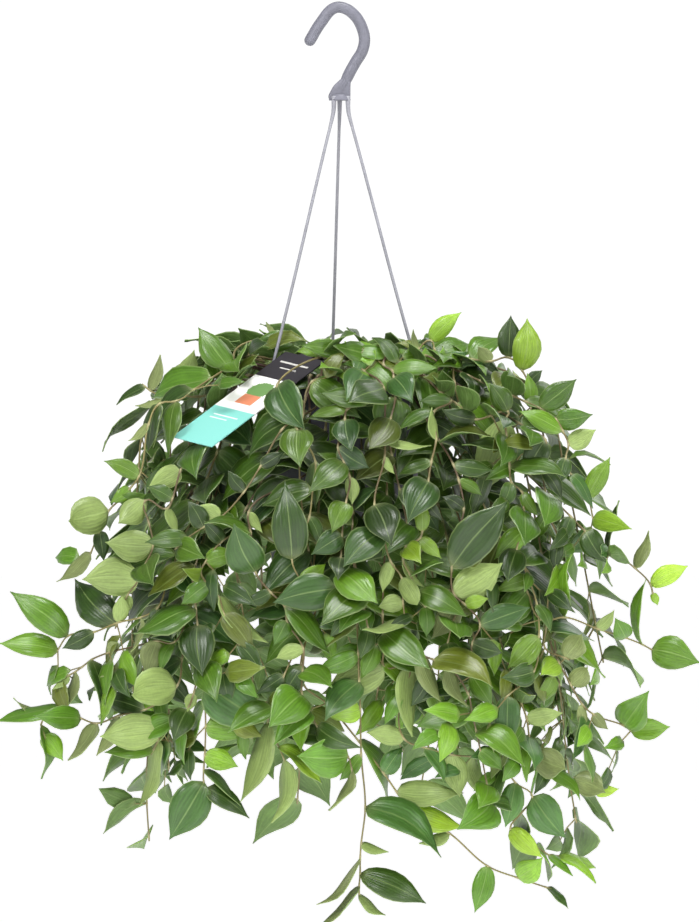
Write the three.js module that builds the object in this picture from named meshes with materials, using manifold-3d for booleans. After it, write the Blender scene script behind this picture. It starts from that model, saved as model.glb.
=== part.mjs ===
// Trailing tradescantia in a plastic hanging pot, in millimetres, +Z up.
// The origin is the saddle of the hook, where it rests on whatever holds it, and the front is -Y.
import * as THREE from "three";
import { mergeVertices } from "three/addons/utils/BufferGeometryUtils.js";
import Module from "manifold-3d";

const wasm = await Module();
wasm.setup();

// Hanger
const ROD = 9.2; // diameter of the hook's rod
const NECK_OUTLINE = [
  [8.4, -52],
  [8, -58],
  [8, -69.2],
  [-9.2, -69.2],
  [-10, -66],
  [-5.8, -58],
  [0.6, -52],
]; // from the front
const NECK_BASE = NECK_OUTLINE[2][1];
const NECK_THICK = 7;
const LIP_HEIGHT = 5; // of the round lip at the neck's foot, which the strands leave
const LIP_TOP_RADIUS = 6.4;
const LIP_RADIUS = 8.2;
const STRAND = 2.5; // diameter of a strand
const STRAND_ROOT = 4.2; // diameter where a strand leaves the neck
const STRAND_TAPER = 13;
const STRAND_ROOT_RADIUS = 6.4; // from the axis, at the neck
const STRAND_SPREAD = [13, -100]; // radius and height from which a strand runs straight
const STRAND_FOOT_RADIUS = 72.5; // from the axis, at the pot's flange
const STRAND_AZIMUTHS = [95.9, -24.1, 215.9]; // degrees from +X towards +Y: back, right, left
const BARB = 6.2; // diameter of the barb under the flange

// Pot and soil
const RIM = -300; // height of the pot's rim
const POT_FOOT = -437;
const FLANGE_RADIUS = 77.5;
const POT_TOP_RADIUS = 68;
const POT_FOOT_RADIUS = 55;
const WALL = 1.6;
const FLANGE_DROP = 5;
const BARB_HOLE = 3.6;
const DRAIN_HOLE = 9;
const DRAIN_RADIUS = 32;
const SOIL_TOP = -312;
const GAP = 0.3;

// Care label: where its printed plate starts and how it lies
const LABEL_TOP = new THREE.Vector3(-28, -50, -275);
const LABEL_END = new THREE.Vector3(-117, -134, -343);
const LABEL_ACROSS = new THREE.Vector3(32, -27.4, -8);
const LABEL_WIDTH = 42;
const LABEL_THICK = 0.8;
const LABEL_STICK = 13; // width of the stick
const LABEL_BEND = 14; // radius of the bend between stick and plate
const LABEL_BEND_ANGLE = 119.6;

// Plant
const GRID = 0.8; // one square of the front-view grid that the shoots are set out on
const GRID_COLUMN = 340.5; // the hook's saddle on that grid
const GRID_ROW = 13.5;
const STEM = 2.6;
const STEM_FOOT = 0.9; // height of a stem's middle where it leaves the soil
const STEM_END = 4; // length of stem past its last leaf
const NODE_SPACING = 27; // from leaf to leaf along a trailing stem
const FILL_SPACING = 24; // between the leaves that fill out a bare stem
const DENSE_SPACING = 13.5; // the same on the thick front's shoots, whose leaves are smaller
const DENSE_SIZE = 0.9;
const LEAF_THICK = 1.5;
const LEAF_BOW = 0.07; // height of a leaf's arch, as a share of its length
const LEAF_SHAPE = 0.58; // width of a full leaf, as a share of its length
const SAMPLE = 5; // most between points taken along a stem or across a leaf
const STEM_ROOM = 2.3; // kept round each such point; two points lie at least both rooms apart
const LEAF_ROOM = 2.4;
const CUBE = 2 * LEAF_ROOM;
const WATERING_SPACE = [
  [-20, -20, SOIL_TOP + 0.5],
  [20, 20, -262],
];

// In the tables below D is deep green, M mid, B bright, Y lime, O olive, G glossy blue-green,
// P a pale underside and S a grey one. A shoot is a single mesh, so it has the mid green.
const LEAF_GREEN = 0x47782e;

// ---------------------------------------------------------------- solids

function solid(geometry) {
  const bare = geometry.clone();
  bare.deleteAttribute("normal");
  bare.deleteAttribute("uv");
  const merged = mergeVertices(bare, 1e-4);
  return new wasm.Manifold(
    new wasm.Mesh({
      numProp: 3,
      vertProperties: merged.attributes.position.array,
      triVerts: new Uint32Array(merged.index.array),
    }),
  );
}

function join(parts) {
  return parts.reduce((whole, part) => whole.add(part));
}

function meshOf(name, shape, colour, roughness) {
  const made = shape.getMesh();
  const geometry = new THREE.BufferGeometry();
  geometry.setAttribute("position", new THREE.BufferAttribute(made.vertProperties, 3));
  geometry.setIndex(new THREE.BufferAttribute(made.triVerts, 1));
  geometry.computeVertexNormals();
  const material = new THREE.MeshStandardMaterial({ color: colour, roughness, metalness: 0 });
  const mesh = new THREE.Mesh(geometry, material);
  mesh.name = name;
  return mesh;
}

// A curve through its points with one section at each point, or at even shares between them.
class Route extends THREE.CatmullRomCurve3 {
  constructor(points) {
    super(points, false, "catmullrom", 0.5);
  }
  getUtoTmapping(u) {
    return u;
  }
}

function tube(points, diameter, sides, stepsPerPoint) {
  const section = new THREE.Shape();
  for (let i = 0; i < sides; i++) {
    const turn = (2 * Math.PI * i) / sides;
    const x = (diameter / 2) * Math.cos(turn);
    const y = (diameter / 2) * Math.sin(turn);
    if (i) section.lineTo(x, y);
    else section.moveTo(x, y);
  }
  section.closePath();
  const extrudePath = new Route(points);
  const steps = (points.length - 1) * stepsPerPoint;
  return solid(new THREE.ExtrudeGeometry(section, { extrudePath, steps, curveSegments: 1 }));
}

function polar(radius, azimuth, z) {
  const turn = THREE.MathUtils.degToRad(azimuth);
  return new THREE.Vector3(radius * Math.cos(turn), radius * Math.sin(turn), z);
}

// ---------------------------------------------------------------- hanger

function strandRoute(azimuth) {
  return [
    polar(STRAND_ROOT_RADIUS, azimuth, NECK_BASE + 3),
    polar(STRAND_ROOT_RADIUS + 0.6, azimuth, NECK_BASE - 10),
    polar(STRAND_SPREAD[0], azimuth, STRAND_SPREAD[1]),
    polar(STRAND_FOOT_RADIUS - 2.6, azimuth, RIM + 9),
    polar(STRAND_FOOT_RADIUS, azimuth, RIM + 2),
    polar(STRAND_FOOT_RADIUS, azimuth, RIM - 5),
  ];
}

function hanger() {
  const rod = [
    [-24.4, -21.5],
    [-16.2, -8],
    [-4.7, 4.5],
    [3, 4.3],
    [12.3, -2.6],
    [18, -13.8],
    [19.2, -22],
    [17.2, -30.5],
    [12.2, -38.6],
    [6, -50],
    [2.6, -58],
  ].map(([x, z]) => new THREE.Vector3(x, 0, z));
  const tip = new THREE.SphereGeometry(ROD / 2, 8, 6).translate(rod[0].x, 0, rod[0].z);
  const web = new THREE.Shape(NECK_OUTLINE.map(([x, z]) => new THREE.Vector2(x, z)));
  const neck = new THREE.ExtrudeGeometry(web, { depth: NECK_THICK, bevelEnabled: false });
  neck.translate(0, 0, -NECK_THICK / 2);
  neck.rotateX(Math.PI / 2);
  const lip = new THREE.CylinderGeometry(LIP_TOP_RADIUS, LIP_RADIUS, LIP_HEIGHT, 10);
  lip.rotateX(Math.PI / 2);
  const middleOfNeck = (NECK_OUTLINE[2][0] + NECK_OUTLINE[3][0]) / 2;
  lip.translate(middleOfNeck, 0, NECK_BASE + LIP_HEIGHT / 2);
  const pieces = [tube(rod, ROD, 8, 1), solid(tip), solid(neck), solid(lip)];
  for (const azimuth of STRAND_AZIMUTHS) {
    const route = strandRoute(azimuth);
    pieces.push(tube(route, STRAND, 6, 1));
    const slope = route[1].clone().sub(route[0]).normalize();
    const root = new THREE.CylinderGeometry(STRAND_ROOT / 2, STRAND / 2, STRAND_TAPER, 6);
    root.applyQuaternion(
      new THREE.Quaternion().setFromUnitVectors(new THREE.Vector3(0, -1, 0), slope),
    );
    const middle = route[0].clone().addScaledVector(slope, STRAND_TAPER / 2);
    pieces.push(solid(root.translate(middle.x, middle.y, middle.z)));
    const foot = route[route.length - 1];
    pieces.push(solid(new THREE.SphereGeometry(BARB / 2, 6, 4).translate(foot.x, foot.y, foot.z - 1)));
  }
  return meshOf("hanger", join(pieces), 0x8f8f9d, 0.42);
}

// ---------------------------------------------------------------- pot and soil

function turned(profile, segments) {
  const points = profile.map(([radius, z]) => new THREE.Vector2(radius, z));
  const lathe = new THREE.LatheGeometry(points, segments);
  return solid(lathe.rotateX(Math.PI / 2));
}

function pot() {
  const shell = turned(
    [
      [0, POT_FOOT + 2],
      [POT_FOOT_RADIUS - 8, POT_FOOT + 2],
      [POT_FOOT_RADIUS - 6, POT_FOOT],
      [POT_FOOT_RADIUS, POT_FOOT],
      [POT_TOP_RADIUS, RIM - 2],
      [FLANGE_RADIUS - WALL, RIM - 2],
      [FLANGE_RADIUS - WALL, RIM - FLANGE_DROP],
      [FLANGE_RADIUS, RIM - FLANGE_DROP],
      [FLANGE_RADIUS, RIM - 0.6],
      [FLANGE_RADIUS - 0.6, RIM],
      [POT_TOP_RADIUS - WALL, RIM],
      [POT_FOOT_RADIUS - WALL, POT_FOOT + 4],
      [0, POT_FOOT + 4],
    ],
    28,
  );
  const holes = STRAND_AZIMUTHS.map((azimuth) => {
    const at = polar(STRAND_FOOT_RADIUS, azimuth, RIM - 1);
    const bore = new THREE.CylinderGeometry(BARB_HOLE / 2, BARB_HOLE / 2, 6, 8);
    return solid(bore.rotateX(Math.PI / 2).translate(at.x, at.y, at.z));
  });
  for (const azimuth of [45, 135, 225, 315]) {
    const at = polar(DRAIN_RADIUS, azimuth, POT_FOOT + 3);
    const bore = new THREE.CylinderGeometry(DRAIN_HOLE / 2, DRAIN_HOLE / 2, 8, 10);
    holes.push(solid(bore.rotateX(Math.PI / 2).translate(at.x, at.y, at.z)));
  }
  return meshOf("pot", shell.subtract(join(holes)), 0x3c3c46, 0.5);
}

function soil() {
  const slope = (POT_TOP_RADIUS - POT_FOOT_RADIUS) / (RIM - 2 - POT_FOOT);
  const foot = POT_FOOT + 4 + GAP;
  const inside = (z) => POT_FOOT_RADIUS - WALL + slope * (z - POT_FOOT - 4) - 2 * GAP;
  const plug = turned(
    [
      [0, foot],
      [inside(foot) - 0.5, foot],
      [inside(SOIL_TOP) - 0.5, SOIL_TOP],
      [0, SOIL_TOP],
    ],
    28,
  );
  return meshOf("soil", plug, 0x2e241c, 0.95);
}

// ---------------------------------------------------------------- care label

const labelAlong = LABEL_END.clone().sub(LABEL_TOP);
const labelLength = labelAlong.length();
labelAlong.normalize();
const labelAcross = LABEL_ACROSS.clone();
labelAcross.addScaledVector(labelAlong, -labelAcross.dot(labelAlong)).normalize();
const labelUp = labelAlong.clone().cross(labelAcross);

// Points of the stick's middle line, from the plate back round the bend and down to the soil.
function stickLine() {
  const line = [];
  for (let i = 0; i <= 6; i++) {
    const turn = THREE.MathUtils.degToRad((LABEL_BEND_ANGLE * i) / 6);
    line.push([-LABEL_BEND * Math.sin(turn), LABEL_BEND * (Math.cos(turn) - 1)]);
  }
  const turn = THREE.MathUtils.degToRad(LABEL_BEND_ANGLE);
  const down = [-Math.cos(turn), -Math.sin(turn)];
  const [along, up] = line[line.length - 1];
  const end = LABEL_TOP.clone().addScaledVector(labelAlong, along).addScaledVector(labelUp, up);
  const fall = -(down[0] * labelAlong.z + down[1] * labelUp.z);
  const reach = (end.z - SOIL_TOP - 1.2) / fall;
  line.push([along + down[0] * reach, up + down[1] * reach]);
  return line;
}

function careLabel() {
  const line = stickLine();
  const side = (offset) =>
    line.map(([along, up], i) => {
      const [a, b] = [line[Math.max(i - 1, 0)], line[Math.min(i + 1, line.length - 1)]];
      const [dx, dy] = [b[0] - a[0], b[1] - a[1]];
      const size = Math.hypot(dx, dy);
      return new THREE.Vector2(along - (dy / size) * offset, up + (dx / size) * offset);
    });
  const band = new THREE.Shape();
  band.moveTo(3, LABEL_THICK / 2);
  for (const point of side(-LABEL_THICK / 2)) band.lineTo(point.x, point.y);
  for (const point of side(LABEL_THICK / 2).reverse()) band.lineTo(point.x, point.y);
  band.lineTo(3, -LABEL_THICK / 2);
  band.closePath();
  const stick = new THREE.ExtrudeGeometry(band, { depth: LABEL_STICK, bevelEnabled: false });
  stick.translate(0, 0, -LABEL_STICK / 2);
  stick.rotateX(Math.PI / 2);
  const plate = new THREE.BoxGeometry(labelLength, LABEL_WIDTH, LABEL_THICK);
  plate.translate(labelLength / 2, 0, 0);
  const mesh = meshOf("care_label", join([solid(plate), solid(stick)]), 0x9be8df, 0.35);
  mesh.applyMatrix4(
    new THREE.Matrix4().makeBasis(labelAlong, labelAcross, labelUp).setPosition(LABEL_TOP),
  );
  return mesh;
}

// ---------------------------------------------------------------- the plant's space

// Heights and how far in front of the axis the outermost leaves lie there.
const FRONT_DEPTH = [
  [-240, 55],
  [-285, 105],
  [-330, 148],
  [-400, 172],
  [-480, 182],
  [-560, 176],
  [-640, 160],
  [-740, 130],
];
const HALF_WIDTH = 285;

function depthAt(x, z) {
  let depth = FRONT_DEPTH[0][1];
  for (let i = 1; i < FRONT_DEPTH.length; i++) {
    const [z0, d0] = FRONT_DEPTH[i - 1];
    const [z1, d1] = FRONT_DEPTH[i];
    const share = Math.min(Math.max((z - z0) / (z1 - z0), 0), 1);
    if (share > 0) depth = d0 + (d1 - d0) * share;
  }
  return depth * Math.sqrt(Math.max(1 - (x / HALF_WIDTH) ** 2, 0));
}

// Points already taken by other pieces, kept by the cube of space that they are in.
const taken = new Map();

function cubeOf(point) {
  return [point.x, point.y, point.z].map((value) => Math.floor(value / CUBE));
}

function claim(points, room, owner, leafy) {
  for (const point of points) {
    const key = cubeOf(point).join();
    if (!taken.has(key)) taken.set(key, []);
    taken.get(key).push({ point, room, owner, leafy });
  }
}

function insidePot(point) {
  const radius = Math.hypot(point.x, point.y);
  if (point.z < POT_FOOT - 4 || point.z > RIM + 3) return false;
  return radius < FLANGE_RADIUS + 3;
}

function inWateringSpace(point) {
  const [low, high] = WATERING_SPACE;
  return (
    Math.abs(point.x) < high[0] + 1 && Math.abs(point.y) < high[1] + 1 &&
    point.z > low[2] - 2 && point.z < high[2] + 1
  );
}

// Whether a point hides the label's plate from the front.
function hidesLabel(point) {
  const { x, z } = point.clone().sub(LABEL_TOP);
  const size = labelAlong.x * labelAcross.z - labelAcross.x * labelAlong.z;
  const down = (x * labelAcross.z - labelAcross.x * z) / size;
  const over = (labelAlong.x * z - x * labelAlong.z) / size;
  if (down < 0 || down > labelLength || Math.abs(over) > LABEL_WIDTH / 2) return false;
  return point.y < LABEL_TOP.y + down * labelAlong.y + over * labelAcross.y;
}

// Whether points keep clear of all but their owner's own. A rooted stem may pass the rim, and
// a leaf that stands apart keeps clear of its owner's leaves and of the view of the label too.
function isFree(points, room, owner, { rooted = false, apart = false } = {}) {
  for (const point of points) {
    if (!rooted && insidePot(point)) return false;
    if (inWateringSpace(point)) return false;
    if (apart && hidesLabel(point)) return false;
    const [cx, cy, cz] = cubeOf(point);
    for (let x = cx - 1; x <= cx + 1; x++) {
      for (let y = cy - 1; y <= cy + 1; y++) {
        for (let z = cz - 1; z <= cz + 1; z++) {
          for (const other of taken.get([x, y, z].join()) ?? []) {
            if (other.owner === owner && !(apart && other.leafy)) continue;
            if (other.point.distanceTo(point) < other.room + room) return false;
          }
        }
      }
    }
  }
  return true;
}

function along(points) {
  const samples = [];
  for (let i = 1; i < points.length; i++) {
    const count = Math.ceil(points[i].distanceTo(points[i - 1]) / SAMPLE);
    for (let j = 0; j < count; j++) {
      samples.push(points[i - 1].clone().lerp(points[i], j / count));
    }
  }
  samples.push(points[points.length - 1]);
  return samples;
}

// ---------------------------------------------------------------- leaves

// A place on a leaf: share of its length from the base, and of its half width to the right.
function onLeaf(leaf, share, side, lift) {
  const { base, length, width, frame } = leaf;
  const arch = LEAF_BOW * length * 4 * share * (1 - share);
  return base
    .clone()
    .addScaledVector(frame.along, share * length)
    .addScaledVector(frame.across, (side * width) / 2)
    .addScaledVector(frame.up, arch + lift);
}

function outlineAt(share) {
  return Math.sin(Math.PI * Math.pow(share, 0.75));
}

function framed(leaf) {
  const forward = leaf.tip.clone().sub(leaf.base);
  const length = forward.length();
  forward.normalize();
  const across = leaf.face.clone().cross(forward).normalize();
  const up = forward.clone().cross(across);
  return { ...leaf, length, frame: { along: forward, across, up } };
}

function leafSolid(leaf) {
  const geometry = new THREE.OctahedronGeometry(1, 0);
  const at = geometry.getAttribute("position");
  for (let i = 0; i < at.count; i++) {
    const share = Math.pow((at.getX(i) + 1) / 2, 1.25);
    const point = onLeaf(leaf, share, -at.getZ(i) * 1.05, (at.getY(i) * LEAF_THICK) / 2);
    at.setXYZ(i, point.x, point.y, point.z);
  }
  return solid(geometry);
}

function leafSamples(leaf) {
  const samples = [];
  const rows = Math.ceil(leaf.length / SAMPLE);
  for (let i = 1; i <= rows; i++) {
    const share = i / rows;
    const half = Math.max(outlineAt(share), 0);
    const columns = Math.ceil((half * leaf.width) / SAMPLE);
    for (let j = 0; j <= columns; j++) {
      const side = columns ? half * ((2 * j) / columns - 1) : 0;
      samples.push(onLeaf(leaf, share, side, 0));
    }
  }
  return samples;
}

// ---------------------------------------------------------------- shoots

const TURNS = [0, 4, -4, 8, -8, 12, -12, 17, -17, 22, -22, 28, -28, 34, -34, 40, -40, 48, -48];
const LIFTS = [0, 8, -8, 16, -16, 24, -24, 32, -32];
const LIFT_STEP = 16; // most that the lift changes from one node to the next
const LEANS = [0, -6, 6, -12, 12, -18, 18, -25, 25, -32, 32, -40, 40, -50, 50];
const RISES = [0, 0.6, 1.2];
const ROOT_RADII = [57, 45, 33];

// A stem from the soil, up and over the rim.
function rootRoute(azimuth, ring) {
  const radius = ROOT_RADII[ring];
  return [
    polar(radius, azimuth, SOIL_TOP + STEM_FOOT),
    polar(radius + 6, azimuth, SOIL_TOP + 13 + 4 * ring),
    polar(FLANGE_RADIUS + 9, azimuth, RIM + 10 + 8 * ring),
  ];
}

function bearing(point) {
  return THREE.MathUtils.radToDeg(Math.atan2(point.y, point.x));
}

function byNearness(lift) {
  return [...LIFTS].sort((a, b) => Math.abs(a - lift) - Math.abs(b - lift) || a - b);
}

// Nodes after the first, each at the nearest lift that keeps the stem clear.
function climb(shoot, first, lift) {
  const nodes = [first];
  for (let i = 1; i < shoot.count; i++) {
    const last = nodes[i - 1];
    const fits = byNearness(lift).find(
      (next) =>
        Math.abs(next - lift) <= LIFT_STEP &&
        isFree(along([last, shoot.nodeAt(i, next)]), STEM_ROOM, shoot.name),
    );
    if (fits === undefined) return null;
    lift = fits;
    nodes.push(shoot.nodeAt(i, lift));
  }
  return nodes;
}

// A shoot that starts low first comes down close to the pot.
function descents(crown, first) {
  const ways = [[]];
  for (const radius of [94, 108, 124]) {
    for (const share of [0.35, 0.6]) {
      const z = crown.z + (first.z - crown.z) * share;
      if (first.z < crown.z - 50) ways.push([polar(radius, bearing(crown), z)]);
    }
  }
  return ways;
}

function findStem(shoot, ring) {
  for (const lift of LIFTS) {
    const first = shoot.nodeAt(0, lift);
    for (const turn of TURNS) {
      const root = rootRoute(bearing(first) + turn, ring);
      if (!isFree(along(root), STEM_ROOM, shoot.name, { rooted: true })) continue;
      for (const descent of descents(root[2], first)) {
        if (!isFree(along([root[2], ...descent, first]), STEM_ROOM, shoot.name)) continue;
        const nodes = climb(shoot, first, lift);
        if (nodes) return { ring, root: [...root, ...descent], nodes };
      }
    }
  }
  return null;
}

// Places for leaves between a stem's own: at the rim, and wherever it is bare for long enough.
function bareSpots(root, nodes, spacing) {
  const spots = [{ spot: root[1] }, { after: root[1], spot: root[1].clone().lerp(root[2], 0.5) }];
  const route = [...root.slice(2), ...nodes];
  if (route[1].clone().sub(route[0]).angleTo(root[2].clone().sub(root[1])) < 1.2) {
    spots.push({ spot: root[2] });
  }
  for (let i = 1; i < route.length; i++) {
    const count = Math.floor(route[i].distanceTo(route[i - 1]) / spacing - 0.8);
    for (let j = 1; j <= count; j++) {
      spots.push({ after: route[i - 1], spot: route[i - 1].clone().lerp(route[i], j / (count + 1)) });
    }
  }
  return spots;
}

// The first clear way for a shoot's stem. One that starts low roots near the pot's wall.
function growStem(shoot) {
  const start = shoot.nodeAt(0, 0).z;
  const rings = start > -325 ? [2, 1, 0] : start > -400 ? [1, 0, 2] : [0, 1, 2];
  for (const ring of rings) {
    const found = findStem(shoot, ring);
    if (!found) continue;
    shoot.nodes = found.nodes;
    const [last, end] = found.nodes.slice(-2);
    const tip = end.clone().add(end.clone().sub(last).setLength(STEM_END));
    shoot.stem = [...found.root, ...found.nodes, tip];
    shoot.spots = bareSpots(found.root, found.nodes, shoot.spacing);
    shoot.leaves = [];
    shoot.filled = [];
    claim(along(shoot.stem), STEM_ROOM, shoot.name);
    return;
  }
  throw new Error("no clear way for " + shoot.name);
}

// Seats the first of a leaf's choices that has room. The leaf is left off where none has.
function seat(shoot, choices, apart) {
  for (const choice of choices) {
    const leaf = framed(choice);
    const points = leafSamples(leaf);
    if (!isFree(points, LEAF_ROOM, shoot.name, { apart })) continue;
    claim(points, LEAF_ROOM, shoot.name, true);
    shoot.leaves.push(leaf);
    return true;
  }
  return false;
}

function growLeaves(shoot) {
  shoot.nodes.forEach((node, i) => {
    seat(shoot, LEANS.map((lean) => shoot.leafAt(node, i, lean)), false);
  });
}

function fillOut(shoot) {
  shoot.spots.forEach(({ after, spot }, i) => {
    const choices = RISES.flatMap((rise) =>
      LEANS.flatMap((lean) =>
        [1, -1].map((hand) => looseLeaf(spot, shoot.index, i, hand, lean, rise, shoot.size)),
      ),
    );
    if (seat(shoot, choices, true)) shoot.filled.push({ after, spot });
  });
}

function shootMesh({ name, stem, filled, leaves }) {
  const route = stem.flatMap((point) => [
    point,
    ...filled.filter(({ after }) => after === point).map(({ spot }) => spot),
  ]);
  const shape = join([tube(route, STEM, 3, 1), ...leaves.map(leafSolid)]);
  return meshOf(name, shape, LEAF_GREEN, 0.4);
}

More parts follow.
